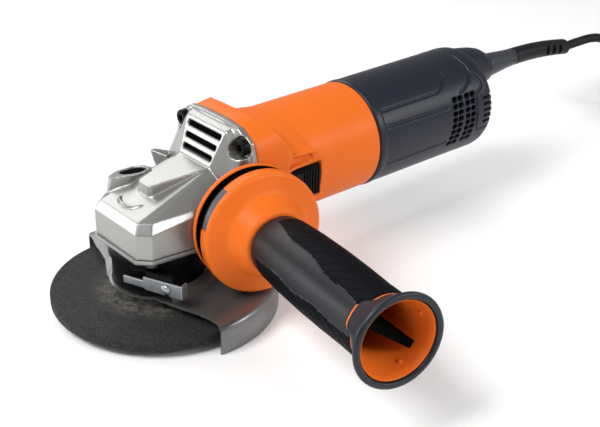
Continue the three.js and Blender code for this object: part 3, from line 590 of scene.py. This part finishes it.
def make_plug_body():
    profile = [(3.5, 0), (4.4, 0.2), (5, 2), (6.2, 5), (8.4, 9), (11, 13), (14.8, 17.5), (17.2, 21.5),
               (18, 25), (18, 37), (17.6, 40), (16.6, 41), (0, 41), (0, 20), (3.5, 10)]
    body = turned("plug", profile, PLUG_BASE, PLUG_AXIS)
    cutters = []
    for k in range(FLUTES):
        angle = 2 * math.pi * k / FLUTES
        out = Vector((math.cos(angle), 0, math.sin(angle)))
        start = PLUG_BASE + PLUG_AXIS * 8 + out * 11.4
        cutters.append(rod(0.7, start, PLUG_BASE + PLUG_AXIS * 26 + out * 19.6, around=10))
    for offset in PIN_OFFSETS:
        cutters.append(rod(2.8, PLUG_BASE + PLUG_AXIS * 30 + offset, PLUG_BASE + PLUG_AXIS * 43 + offset))
    cut(body, *cutters)
    return dress(bevel(body, 0.3), "plug_body", "rubber", nodes=("mains_plug",))


# ---------------------------------------------------------------- spindle, disc and guard

def make_disc():
    """A depressed-centre wheel with rounded edges."""
    profile = [(11.2, 4.5), (11.2, 10.1), (11.6, 10.5), (18.2, 10.5), (18.9, 10.2), (23.6, 6.3), (24.6, 6),
               (61.6, 6), (62.2, 5.7), (62.5, 5.1), (62.5, 0.8), (62.2, 0.2), (61.7, 0), (26, 0), (25, 0.3),
               (20, 4.2), (19.2, 4.5)]
    disc = turned("disc", profile, around=160)
    dress(disc, "disc", "abrasive", "spindle_set", ("grinding_disc",))


def make_spindle():
    """A shaft with a shoulder, threaded below it in blunt crests two millimetres apart."""
    profile = [(0, 0), (5.6, 0), (6.2, 0.5)]
    for k in range(6):
        profile += [(6.1, 1 + 2 * k), (6.9, 1.8 + 2 * k), (6.9, 2.2 + 2 * k)]
    profile += [(6.6, 14.4), (8.6, 14.6), (8.6, 20.4), (6, 20.6), (6, 62.6), (5, 63.6), (0, 63.6)]
    spindle = turned("spindle", profile, around=64)
    dress(spindle, "spindle_shaft", "steel", "spindle_set", ("spindle",))


def make_nut():
    """The clamping nut with four holes for a pin spanner."""
    nut = turned("nut", [(7.2, -0.2), (7.6, -0.6), (18.2, -0.6), (18.9, -0.1), (19, 0.5), (19, 3.8),
                         (18.6, 4.2), (7.2, 4.2)])
    holes = []
    for k in range(4):
        angle = math.pi / 4 + k * math.pi / 2
        x, y = 14 * math.cos(angle), 14 * math.sin(angle)
        holes.append(rod(2.4, (x, y, -2), (x, y, 2.6), 32))
    bevel(cut(nut, *holes), 0.2)
    dress(nut, "clamping_nut", "dark_steel", "spindle_set", ("clamp_nut",))


def make_flange():
    flange = turned("flange", [(7.2, 5.4), (10.6, 5.4), (10.9, 5.8), (10.9, 10.8), (20.2, 10.8),
                               (20.5, 11.1), (20.5, 12.2), (20, 12.7), (14.6, 14), (13.8, 14.2),
                               (7.2, 14.2)])
    dress(flange, "disc_flange", "dark_steel", "spindle_set", ("inner_flange",))


GUARD_BORE = 26.8


def make_guard():
    """Pressed sheet: rounded skirt, flat plate, and a raised collar that is low in front."""
    skirt = [(67.7, -4.5), (68, -4.7), (69, -4.7), (69.3, -4.4), (69.3, 8.3), (69, 10), (68.2, 11.6),
             (66.9, 12.6), (64.9, 13), (58, 13), (36.4, 13), (34.6, 13.4), (33, 14.4), (30.4, 16.8),
             (28.4, 17.4), (GUARD_BORE, 17.4), (GUARD_BORE, 14), (30, 12.6), (33.4, 11.4), (64.4, 11.4),
             (66.2, 11), (67.3, 9.9), (67.7, 8.2)]
    shell = turned("guard", skirt, around=192)
    opening = [(-7, -75), (-7, -69), (-5.6, -63), (-6, -57.5), (-7.6, -50), (-9.8, -44), (-12.6, -36),
               (-15, -29), (-18.6, -22.5), (-23, -17.5), (-25.6, -9), (-27, 0), (-26, 10), (-24.6, 15.5),
               (-20.8, 22.8), (-15.5, 32.5), (-12.6, 42), (-10.5, 49.5), (-7, 60), (-4.5, 69), (-4, 75),
               (-90, 75), (-90, -75)]
    cut(shell, prism("opening", opening, -20, 40))
    collar = [(GUARD_BORE, 12.4), (28.4, 12.4), (28.4, 17.7), (28.1, 18), (27.1, 18), (GUARD_BORE, 17.7)]
    join(shell, turned("collar", collar, around=192))
    low_front = hull([(-14, -40, 13.2), (8, 40, 13.2), (-40, -40, 13.2), (-40, 40, 13.2), (-40, -40, 30),
                      (-40, 40, 30), (-6, -40, 30), (16, 40, 30)])
    cut(shell, low_front)
    dress(bevel(shell, 0.35, 3), "guard_shell", "guard", "guard", ("guard",))


# ---------------------------------------------------------------- gear head

def make_gear_head():
    """The casting, with a raised arc on its deck, a lug on its far side, and a near-black sheet of painted
    shade behind its slots.
    """
    head = copy_of("gear_housing")
    arc = turned("arc", [(10.4, 58), (11.8, 58), (11.8, 63.7), (11.3, 64.2), (10.8, 64.2), (10.4, 63.7)],
                 (-8.5, 2.5, 0), around=96)
    cut(arc, box((-8.5, -30, 50), (30, 30, 70)), box((-40, 10, 50), (30, 40, 70)))
    lug = hull([(21.5, 36.5, 72), (24.5, 36.8, 72), (31, 30, 71), (27, 27, 69.5), (22, 30, 60),
                (31, 30, 60), (30, 24, 60)])
    join(head, lug, arc)
    behind = ((30.2, 79), (37.6, 95.4), (45, 95.4), (45, 79))
    cut(head, hull([(x, y, z) for x, z in behind for y in (-15.2, 15.2)]))
    soften(head, 0.5, 3, 0.5)
    dress(head, "gear_head", "cast", nodes=("gear_housing",))
    # A near-black sheet behind the vent slots: painted shade, so the slots read dark.
    shade_sheet = hull([(x, y, z) for x, z in ((31, 79.3), (38.3, 95.1), (40.3, 95.1), (33, 79.3))
                   for y in (-14.9, 14.9)])
    dress(shade_sheet, "vent_painted_shade", "black_and_painted_shade")


def make_screws():
    """Four black screws with a six-lobed socket each."""
    profile = [(0, 0.4), (3.6, 0), (4.4, 0.5), (4.7, 1.2), (4.7, 4), (2.1, 4.2), (2.1, 23.8), (0, 23.8)]
    for k, (y, z) in enumerate(HEAD_SCREWS, 1):
        screw = turned("screw", profile, (38.2, y, z), X_AXIS, around=64)
        lobes = []
        for n in range(24):
            angle = 2 * math.pi * n / 24
            r = 2 + 0.35 * math.cos(6 * angle)
            lobes.append((y + r * math.cos(angle), z + r * math.sin(angle)))
        cut(screw, loft("socket", [[(x, p, q) for p, q in lobes] for x in (37, 40.2)]))
        dress(bevel(screw, 0.12), f"head_screw_{k}", "black",
              nodes=(f"housing_screw_{k}",))


LOCK_AXIS = (1.2, 23.2)
CAP_AXIS = (1.2, 23.4)
# Places across the boss in Y, and its height there.
BOSS_SLOPE = ((11.4, 71.3), (35.4, 65.3))
SPRING_LOW = 60.8
SPRING_HIGH = 66.2
SPRING_TURNS = 2


def make_button():
    """The lock's round cap, cut to the boss's slope, on its pin, hollow below for the spring."""
    cap = rod(7.4, (*CAP_AXIS, 65), (*CAP_AXIS, 73), 96)
    above = hull([(x, y, z) for x in (-12, 14) for y, top in BOSS_SLOPE for z in (top, 85)])
    room = rod(4.7, (*LOCK_AXIS, 60), (*LOCK_AXIS, SPRING_HIGH + 0.1))
    cut(cap, above, room)
    join(cap, rod(2, (*LOCK_AXIS, 51.2), (*LOCK_AXIS, 67), 32))
    dress(bevel(cap, 0.5, 3), "lock_cap", "black_and_painted_shade", "lock_button", ("lock_button",))


def make_return_spring():
    """A short coil under the cap."""
    wire, mean, steps = 0.3, 3.7, 64
    x, y = LOCK_AXIS
    rings = []
    for i in range(steps + 1):
        angle = 2 * math.pi * SPRING_TURNS * i / steps
        z = SPRING_LOW + wire + (SPRING_HIGH - SPRING_LOW - 2 * wire) * i / steps
        ring = []
        for k in range(12):
            turn = 2 * math.pi * k / 12
            r = mean + wire * math.cos(turn)
            ring.append((x + r * math.cos(angle), y + r * math.sin(angle), z + wire * math.sin(turn)))
        rings.append(ring)
    spring = loft("spring", rings)
    dress(spring, "return_spring", "steel", nodes=("lock_spring",))
    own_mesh(spring)


def make_neck():
    """The guard's seat: a turned collar with a bracket for the lever."""
    profile = [(12.5, 19.6), (24.6, 19.6), (24.6, 13.8), (24.8, 13.6), (25.9, 13.6), (26.2, 13.9),
               (26.2, 28.9), (26.5, 29.4), (27.6, 29.9), (27.9, 30.3), (27.9, 36.3), (BEARING_SEAT, 36.3),
               (BEARING_SEAT, 23.4), (12.5, 23.4)]
    neck = turned("neck", profile, around=160)
    join(neck, lever_block((13.8, 31), (-2.2, 0.3), (20.2, 31)))
    rooms = [rod(4.1, (x, y, 33), (x, y, 37), 32) for x, y in COVER_SCREWS]
    cut(neck, rivet_hole(-3, 2), *rooms)
    dress(bevel(neck, 0.35, 2, 40), "spindle_neck", "black", nodes=("guard_neck",))


RIVET_ALONG = 27.8
RIVET_Z = 24


def lever_point(along, off):
    """A point by its place along the lever and its distance out from the neck."""
    return (-26.6 + 0.391 * along - 0.92 * off, -7 - 0.92 * along - 0.391 * off)


def lever_block(alongs, offs, heights):
    return hull([(*lever_point(a, off), z) for a in alongs for off in offs for z in heights])


def rivet_spot(off):
    return Vector((*lever_point(RIVET_ALONG, off), RIVET_Z))


def rivet_hole(low, high):
    return rod(1.9, rivet_spot(low), rivet_spot(high), 32)


def make_lever():
    """A pressed plate with a turned-over end and a notch below the rivet."""
    arm = lever_block((0, 13.5), (0.6, 2), (21, 25.5))
    plate = hull([(*lever_point(a, off), z) for a, low in ((13, 21), (15, 20), (38, 20)) for off in (0.6, 2)
                  for z in (low, 28)])
    tab = lever_block((36.6, 38), (-4, 0.6), (20, 28))
    notch = lever_block((26.6, 29.4), (0, 3), (19, 20.8))
    join(arm, plate, tab)
    cut(arm, notch, rivet_hole(0, 4))
    soften(arm, 0.2, 3, 0.4)
    dress(arm, "lever_plate", "steel", "guard_lever", ("guard_lever",))


def make_rivet():
    profile = [(0, -1.5), (1.6, -1.5), (1.6, 2.3), (2.9, 2.3), (3, 2.5), (2.8, 3), (2.2, 3.5), (1.2, 3.8),
               (0, 3.9)]
    rivet = turned("rivet", profile, rivet_spot(0), rivet_spot(1) - rivet_spot(0), around=64)
    dress(rivet, "lever_pin", "steel", nodes=("lever_rivet",))


def make_bearing_cover():
    """A plate that tapers a little downwards, with the bearing's bore and four screw holes."""
    outline = [(-28.2, 20), (-21.2, 27.2), (2, 29.6), (20, 31.6)]
    outline += [(x, -y) for x, y in reversed(outline)]
    cover = loft("cover", [[(x * k, y * k, z) for x, y in outline]
                           for k, z in ((0.97, 36.6), (0.995, 37.4), (1, 38), (1, 39.85))])
    holes = [rod(2.3, (x, y, 30), (x, y, 45), 32) for x, y in COVER_SCREWS]
    cut(cover, rod(BEARING_SEAT, (0, 0, 30), (0, 0, 45), 96), *holes)
    dress(bevel(cover, 0.3, 2), "bearing_plate", "cast", nodes=("bearing_cover",))


# ---------------------------------------------------------------- motor housing and rear cover

# Sections along X: place, half width, rise, drop, squareness, and how far the sides lean back.
HOOD = [(45.5, 35.4, 39.2, 34.2, 3.5, 0), (46.2, 36, 40, 34.5, 3.5, 0),
        (50, 36.3, 40.5, 34.4, 3.6, 0.35), (55, 36.5, 40.8, 34.4, 3.9, 0.95),
        (55.6, 36.4, 40.6, 34.3, 3.9, 1), (57.5, 35.7, 38.9, 34.2, 3.7, 1),
        (60, 34.6, 36.5, 34, 3.2, 1), (62.5, 34, 35, 33.8, 2.7, 1), (66, 33.7, 34.1, 33.7, 2.4, 1),
        (72, 33.6, 33.8, 33.6, 2.2, 0.9), (80, BARREL, BARREL, BARREL, 2, 0.7),
        (110, BARREL, BARREL, BARREL, 2, 0), (140.6, BARREL, BARREL, BARREL, 2, 0),
        (141.6, 33.1, 33.1, 33.1, 2, 0), (142, 32.6, 32.6, 32.6, 2, 0)]
# Degrees from the top, and the lean back there.
SWEEP = [(0, 0), (25, 0), (33, 3), (39, 6), (47, 8.3), (56, 12), (65, 12.5), (80, 10), (180, 8)]
HOOD_STEP = 2


def between(table, at):
    """Straight-line lookup in a table of (place, value) pairs."""
    for (a, low), (b, high) in zip(table, table[1:]):
        if at <= b:
            return low + (high - low) * (at - a) / (b - a)
    return table[-1][1]


def hood_ring(x, half, up, down, power, sweep, around=200):
    """A rounded square section that leans back towards its sides."""
    ring = []
    for k in range(around):
        angle = 2 * math.pi * k / around
        c = abs(math.cos(angle)) / half
        s = abs(math.sin(angle)) / (up if math.sin(angle) > 0 else down)
        r = (c ** power + s ** power) ** (-1 / power)
        off_top = abs((math.degrees(angle) + 90) % 360 - 180)
        back = sweep * between(SWEEP, off_top)
        ring.append((x + back, r * math.cos(angle), MOTOR_Z + r * math.sin(angle)))
    return ring


def hood_skin():
    """The hood and barrel as one closed skin, with rings about two millimetres apart."""
    rings = []
    for a, b in zip(HOOD, HOOD[1:]):
        steps = max(1, round((b[0] - a[0]) / HOOD_STEP))
        for k in range(steps):
            rings.append(hood_ring(*[p + (q - p) * k / steps for p, q in zip(a, b)]))
    rings.append(hood_ring(*HOOD[-1]))
    return loft("hood", rings)


def back_wall_holes():
    """The shaft's hole, a ring of six air holes, and the slot for the switch's bar."""
    holes = [box((137, -30, 52.5), (145, -24.6, 63.5)), rod(10, (136, 0, MOTOR_Z), (150, 0, MOTOR_Z))]
    for k in range(6):
        angle = math.pi / 6 + k * math.pi / 3
        y, z = 19.5 * math.cos(angle), MOTOR_Z + 19.5 * math.sin(angle)
        holes.append(rod(5.5, (136, y, z), (145, y, z), 24))
    return holes


def make_motor_housing():
    """An orange moulding: hood, barrel, back wall, switch seat, and a brow over the switch."""
    shell = hood_skin()
    cut(shell, turned("bore", [(0, 43), (BORE, 43), (BORE, 138.4), (0, 138.4)], MOTOR_CENTRE, X_AXIS))
    brow = hull([(72.2, -29.4, 82.2), (81, -29.2, 81.6), (92, -34.8, 76.4), (69.2, -35.2, 78),
                 (72.3, -24, 79), (81, -24, 79), (92, -28, 73), (69.6, -28, 73)])
    join(shell, box((60, -32, 43.5), (98, -28.4, 71)), brow)
    groove = hull([(69, -40, 76.8), (91, -40, 75), (65.6, -40, 71.2), (91.2, -40, 70.8),
                   (71.5, -28.6, 75.4), (88, -28.8, 73.4), (68, -31.7, 70.9), (89.5, -32, 70.5)])
    seat = [box((62.4, -40, 46.2), (94.2, -31, 68.6)), box((67.2, -32, 54), (82.4, -27, 62))]
    screws = [rod(2.4, (44, y, z), (63, y, z), 16) for y, z in HEAD_SCREWS]
    cut(shell, groove, *seat, *back_wall_holes(), *screws)
    soften(shell, 0.5, 1, 0.38)
    dress(shell, "hood_and_barrel", "orange", nodes=("motor_housing",))


def make_slider():
    """The ribbed slide, on a bar that runs back inside the housing."""
    slider = hull([(x, -31.3, z) for x in (69.6, 93.4) for z in (47, 67.6)] +
                  [(x, y, z) for x, y in ((70.6, -34.6), (92.4, -34.3)) for z in (49, 65.4)])
    grooves = [box((79.8 + 2.1 * k, -36, 48.6), (80.8 + 2.1 * k, -33.4, 65.2)) for k in range(6)]
    cut(slider, *grooves)
    join(slider, box((74.2, -31.6, 55), (81.8, -27, 61)), box((74.2, -27.6, 55), (160, -26, 61)))
    dress(bevel(slider, 0.3, 3), "slide_switch", "black", "switch", ("switch_slider",))


def line_tube(points, side, radius, around=10):
    """One closed tube along a line on the cover's skin, for cutting a groove."""
    spots = [Vector((x, y * side, z)) for x, y, z in points]
    rings = []
    for i, spot in enumerate(spots):
        along = (spots[min(i + 1, len(spots) - 1)] - spots[max(i - 1, 0)]).normalized()
        across = along.cross(Vector((0, spot.y, spot.z - MOTOR_Z))).normalized()
        out = across.cross(along)
        turns = [2 * math.pi * k / around for k in range(around)]
        rings.append([spot + (across * math.cos(t) + out * math.sin(t)) * radius for t in turns])
    return loft("groove", rings)


# Moulded lines on the -Y side, mirrored to the other.
PANEL_LINES = [
    [(148.3, -25.8, 82.6), (196, -25.8, 82.6), (200.3, -24.7, 83.8), (207.9, -19.9, 88.1),
     (208.7, -17, 90)],
    [(149, -31.1, 73.8), (202, -31.4, 73)],
    [(149, -31.8, 49.6), (202, -31.8, 49.6)],
    [(229.8, -5, 94.2), (230, -13.2, 91.8), (230.7, -16.6, 90.1), (230.1, -20.9, 87.2),
     (225.3, -25.5, 82.9), (219.2, -27.8, 80), (214.8, -28.7, 78.6)],
    [(231.3, -21.2, 87), (235, -25.8, 82.2), (235.9, -28.1, 79.2), (232.8, -29.5, 77.1),
     (228.4, -30.4, 75.4), (227.6, -31.6, 72.6), (227.6, -33.4, 66.9), (227.6, -33.2, 54.3),
     (229, -32.2, 50.9), (240, -32, 50.5)],
]


def side_box(side, near, far, xs, zs):
    """A box on one side of the motor, between two distances from its axis."""
    low, high = sorted((side * near, side * far))
    return box((xs[0], low, zs[0]), (xs[1], high, zs[1]))


def vent_slots():
    """On each side, eight rows of four small windows and, behind them, five long slots."""
    slots = []
    for side in (-1, 1):
        for row in range(8):
            z = 45.4 + row * 4.1
            for x in (203.6 + row * 0.45, 208.6 + row * 0.45, 215.8 + row * 0.3, 220.8 + row * 0.3):
                slots.append(side_box(side, 20, 40, (x, x + 4.3), (z, z + 3.1)))
        for row in range(5):
            z = 54.8 + row * 3.9
            slots.append(side_box(side, 26, 40, (233.6, 248), (z, z + 1.9)))
    return slots


def make_rear_cover():
    """A turned shell with a cone for the cord, vents, and moulded lines."""
    profile = [(0, 142.3), (32.6, 142.3), (33.4, 142.8), (33.9, 144), (33.9, 147.2), (33.5, 147.8),
               (33.7, 158), (33.7, 222), (33.8, 226), (33.8, 237), (33.4, 240), (32.2, 242.8),
               (30.4, 244.6), (28.6, 245.2), (0, 245.2)]
    cover = turned("cover", profile, MOTOR_CENTRE, X_AXIS, around=160)
    cone = ((206, 76, 5), (220, 78.6, 11.5), (232, 79.6, 14), (244, 79.4, 14), (254, 78.6, 13.2),
            (261, 77.6, 12.2), (266, 76.2, 10.8), (268, 75.6, 9.6))
    join(cover, loft("cone", [circle(x, z, r, 48) for x, z, r in cone]))
    hollow = [(0, 138), (BORE, 138), (BORE, 233), (27, 239), (0, 239)]
    cut(cover, turned("hollow", hollow, MOTOR_CENTRE, X_AXIS), rod(6.2, (225, 0, CORD_Z), (272, 0, CORD_Z)))
    cut(cover, *vent_slots())
    cut(cover, *[line_tube(line, side, 1.0) for line in PANEL_LINES for side in (1, -1)])
    soften(cover, 0.5, 1, 0.36)
    dress(cover, "rear_shell", "charcoal", nodes=("rear_cover",))
    # A near-black sleeve inside the vents: painted shade, so the slots read dark.
    shade_sheet = turned("shade_sheet", [(29.4, 200), (30.2, 200), (30.2, 232), (29.4, 232)], MOTOR_CENTRE, X_AXIS)
    dress(shade_sheet, "rear_painted_shade", "black_and_painted_shade")


def make_cord_stub():
    profile = [(3.6, 268.4), (7.9, 268.4), (8.2, 268.9), (8.1, 271), (7.6, 276), (6.9, 283), (6.2, 290),
               (5.9, 298), (5.6, 298.2), (3.6, 298.2)]
    stub = turned("stub", profile, (0, 0, CORD_Z), X_AXIS, around=64)
    dress(stub, "cord_stub", "stub", nodes=("cord_guard_stub",))


def make_cord_boot():
    """A rubber sleeve that droops and thins towards the cord, notched near its end."""
    rings = []
    for k in range(24):
        t = k / 23 * 5
        rings.append(circle(298.5 + 11.3 * t, CORD_Z - 0.216 * t * t, 5.9 - 0.09 * t, 48))
    boot = loft("boot", rings)
    notches = [side_box(side, 3.9, 9, (x, x + 3.6), (66, 80)) for x in (329, 336, 343) for side in (-1, 1)]
    bore = ((297, CORD_Z), (320, 74.6), (340, 72.4), (356, 69.9))
    cut(boot, loft("bore", [circle(x, z, 3.5, 32) for x, z in bore]), *notches)
    dress(bevel(boot, 0.35, 3), "cord_boot", "rubber", nodes=("cord_guard_boot",))


# ---------------------------------------------------------------- side handle

BOLT_HOLE = 4.2
BAND_CENTRE = 62
GRIP_START = 39.7
# Places along the handle, and the sleeve's radius there.
GRIP_PROFILE = [(GRIP_START, 16.6), (41, 17.3), (48, 17.7), (66, 18.6), (88, 19), (108, 18.8),
                (126, 18.3), (145, 18.4)]
GRIP_ROWS = 150
HANDLE_AROUND = 200
MOUTH = 155
LIP_ROWS = range(8, 15)


def on_handle(radius, angle, along):
    """A point by radius, angle in degrees from the top, and distance along the handle."""
    up = (Vector((0, 0, 1)) - HANDLE_AXIS * HANDLE_AXIS.z).normalized()
    side = HANDLE_AXIS.cross(up)
    turn = math.radians(angle)
    return HANDLE_BASE + HANDLE_AXIS * along + (up * math.cos(turn) + side * math.sin(turn)) * radius


def on_bolt(profile, around):
    """A profile turned about the handle's axis."""
    return turned("turned", profile, HANDLE_BASE, HANDLE_AXIS, around)


def off_band(angle, along):
    """0 on the smooth bands of the grip, 1 on its soft patches."""
    share = (along - 45) / 90
    half = 36 - 12 * share + 2.5 * math.sin(along * 0.16)
    centre = BAND_CENTRE - 12 + 14 * share
    away = abs((angle - centre + 90) % 180 - 90)
    return ease((away - half) / 4 + 0.5)


def grip_end(angle):
    """Where the grip's sleeve ends; it stops short of the mouth on the smooth bands."""
    away = abs((angle - 52.5 + 90) % 180 - 90)
    return 136.6 + 5.2 * ease((away - 18) / 19)


def patch_height(angle, along):
    """How far a soft patch has risen, from 0 on the bands and at the sleeve's start to 1."""
    return off_band(angle, along) * ease((along - 44) / 5)


def grip_along(angle, row):
    return GRIP_START + (grip_end(angle) - GRIP_START) * row / GRIP_ROWS


def grip_skin(around):
    """The sleeve's outer points, ring by ring, with wavy ribs on the soft patches."""
    points = []
    for i in range(GRIP_ROWS + 1):
        for k in range(around):
            angle = 360 * k / around
            along = grip_along(angle, i)
            wave = (along / 8.5 + 1.6 * math.sin(math.radians(2 * angle)) + 0.5 * math.sin(along / 14)) % 1
            ribs = 0.16 - 0.34 * ease(1 - abs(wave - 0.5) * 7)
            edge = 0.5 * (1 - ease(min(i, GRIP_ROWS - i) / 3))
            radius = between(GRIP_PROFILE, along) + patch_height(angle, along) * (0.42 + ribs) - edge
            points.append(on_handle(radius, angle, along))
    return points


def make_grip():
    """A sleeve in two finishes: soft ribbed patches between smooth bands."""
    around = HANDLE_AROUND
    points, faces, soft = grip_skin(around), [], []
    for i in range(GRIP_ROWS):
        for k in range(around):
            a, b = i * around + k, i * around + (k + 1) % around
            faces.append([a, b, b + around, a + around])
            angle = 360 * (k + 0.5) / around
            soft.append(patch_height(angle, grip_along(angle, i + 0.5)) > 0.5)
    inner = len(points)
    for radius, along in ((15.3, GRIP_START), (17, 134)):
        points += [on_handle(radius, 360 * k / around, along) for k in range(around)]
    last = GRIP_ROWS * around
    for k in range(around):
        n = (k + 1) % around
        faces.append([k, inner + k, inner + n, n])
        faces.append([inner + k, inner + around + k, inner + around + n, inner + n])
        faces.append([inner + around + k, last + k, last + n, inner + around + n])
    grip = mesh_piece("grip", points, faces, "band")
    face_outwards(grip)
    grip.data.materials.append(MATERIALS["grip"])
    for face in grip.data.polygons[:len(soft)]:
        face.material_index = 1 if soft[face.index] else 0
    dress(grip, "soft_grip", None, nodes=("handle_grip",))


def make_bumper():
    """A flared end that follows the sleeve's edge, with a paler lip."""
    profile = [(18.7, 139.2), (19.2, 139.3), (19.7, 141), (20.6, 143.5), (22, 147), (23.5, 150),
               (24.2, 151.2), (24.2, 151.9), (24.9, 152.3), (25, 153.4), (24.7, 154.5), (23.9, MOUTH),
               (22.4, MOUTH), (21.7, 154.6), (21.5, 153.8), (21.4, 147.5), (19.4, 143), (18.4, 140)]
    around, first = HANDLE_AROUND, profile[0][1]
    points, faces = [], []
    for r, s in profile:
        for k in range(around):
            angle = 360 * k / around
            start = grip_end(angle) + 1
            along = start + (s - first) * (MOUTH - start) / (MOUTH - first)
            points.append(on_handle(r, angle, along))
    count = len(profile)
    for i in range(count):
        for k in range(around):
            n = (k + 1) % around
            j = (i + 1) % count
            faces.append([i * around + k, i * around + n, j * around + n, j * around + k])
    bumper = mesh_piece("bumper", points, faces, "charcoal")
    face_outwards(bumper)
    bumper.data.materials.append(MATERIALS["lip"])
    for face in bumper.data.polygons:
        if face.index // around in LIP_ROWS:
            face.material_index = 1
    dress(bumper, "end_bumper", None, nodes=("handle_bumper",))


def make_handle_core():
    """Flange, skirt, tube and flared mouth in one orange moulding."""
    profile = [(33.2, 16.6), (34.9, 16.6), (35.2, 17), (35.3, 22.6), (35.1, 23.9), (34.3, 24.7), (33, 25.1),
               (28, 26.4), (24.8, 27.6), (24.2, 28), (23.8, 28.7), (22.4, 31.6), (21, 34.6), (19.6, 37.4),
               (18.6, 38.9), (17.6, 39.4), (15, 39.4), (15, 107.7), (16.6, 111.8), (16.6, 134),
               (18.2, 135.6), (18.2, 140), (19.1, 143.2), (21.1, 147.6), (21.2, 153), (21, 153.5),
               (20.7, 153.6), (20.3, 153.2), (19.6, 149), (17.9, 144), (15.9, 139), (14.4, 133),
               (13.8, 125), (13.8, 96), (BOLT_HOLE, 96), (BOLT_HOLE, 52.4), (6.8, 52.4), (6.8, 46),
               (BOLT_HOLE, 45.6), (BOLT_HOLE, 22.2), (33.2, 22.2)]
    core = on_bolt(profile, 160)
    notch = hull([on_handle(r, a, s) for r in (29, 42) for a in (35, 77) for s in (14, 22)] +
                 [on_handle(44, 56, s) for s in (14, 22)])
    cut(core, notch)
    bump = [(0, 0), (1.5, 0), (1.1, 1.1), (0.6, 1.5), (0, 1.6)]
    bumps = []
    for angle in (20, 110, 200, 290):
        wall = on_handle(18.4, angle, 145.6)
        inward = (on_handle(0, angle, 145.6) - wall).normalized()
        bumps.append(turned("bump", bump, wall - inward * 0.5, inward, around=24))
    join(core, *bumps)
    dress(bevel(core, 0.25, 2, 40), "handle_body", "orange", nodes=("handle_core",))


def make_handle_rings():
    """The orange seat, the black damper and the grey spacer between the head and the handle."""
    seat = [(BOLT_HOLE, 5.5), (33.6, 5.5), (34.3, 5.7), (34.5, 6.3), (34.5, 8.2), (34.2, 8.6),
            (33.7, 8.6), (33.4, 8.2), (33.3, 6.4), (BOLT_HOLE, 6.3)]
    dress(on_bolt(seat, 160), "seat_ring", "orange", nodes=("handle_base_ring",))
    damper = [(BOLT_HOLE, 6.6), (32.9, 6.7), (33, 7.4), (31.2, 8), (30.7, 8.8), (30.7, 10.8),
              (30.2, 11.1), (BOLT_HOLE, 11.1)]
    dress(on_bolt(damper, 128), "damping_ring", "black_and_painted_shade", nodes=("handle_damper",))
    spacer = [(BOLT_HOLE, 11.4), (30.4, 11.4), (31.4, 11.7), (32.3, 12.6), (32.5, 15.4), (32.3, 15.8),
              (32.3, 21.6), (31.8, 21.9), (BOLT_HOLE, 21.9)]
    dress(on_bolt(spacer, 128), "grey_ring", "grey", nodes=("handle_spacer",))


# ---------------------------------------------------------------- CAD nodes that stay

KEPT = {
    "steel": ["spindle_bearing", "front_bearing", "rear_bearing", "handle_bolt", "armature_shaft"],
    "dark_steel": ["cover_screw_1", "cover_screw_2", "cover_screw_3", "cover_screw_4", "crown_gear",
                   "pinion_gear", "armature_core", "stator_core"],
    "brass": ["upper_bush"],
    "black": ["fan", "air_baffle", "switch_unit", "cord_clamp"],
    "black_and_painted_shade": ["stored_key"],
    "insulation": ["upper_brush_holder", "lower_brush_holder"],
    "copper": ["front_winding", "rear_winding", "commutator", "upper_field_coil", "lower_field_coil"],
    "rubber": ["rear_bearing_sleeve"],
    "carbon": ["upper_carbon_brush", "lower_carbon_brush"],
}


def finish_kept_nodes():
    for material, names in KEPT.items():
        for name in names:
            node = frame["nodes"][name]
            node.data.materials.clear()
            node.data.materials.append(MATERIALS[material])
            bevel(node, 0.3)


def copy_of(node):
    """A new object with the same shape as a CAD node."""
    mesh = frame["nodes"][node].data.copy()
    work = bmesh.new()
    work.from_mesh(mesh)
    bmesh.ops.remove_doubles(work, verts=list(work.verts), dist=1e-6)
    work.to_mesh(mesh)
    work.free()
    piece = bpy.data.objects.new("copy", mesh)
    bpy.context.scene.collection.objects.link(piece)
    return piece


make_camera()
make_cord(make_plug())
make_floor()
make_light()
make_disc()
make_spindle()
make_nut()
make_flange()
make_guard()
make_gear_head()
make_screws()
make_button()
make_return_spring()
make_neck()
make_lever()
make_rivet()
make_bearing_cover()
make_motor_housing()
make_slider()
make_rear_cover()
make_cord_stub()
make_cord_boot()
make_handle_rings()
make_handle_core()
make_grip()
make_bumper()
finish_kept_nodes()
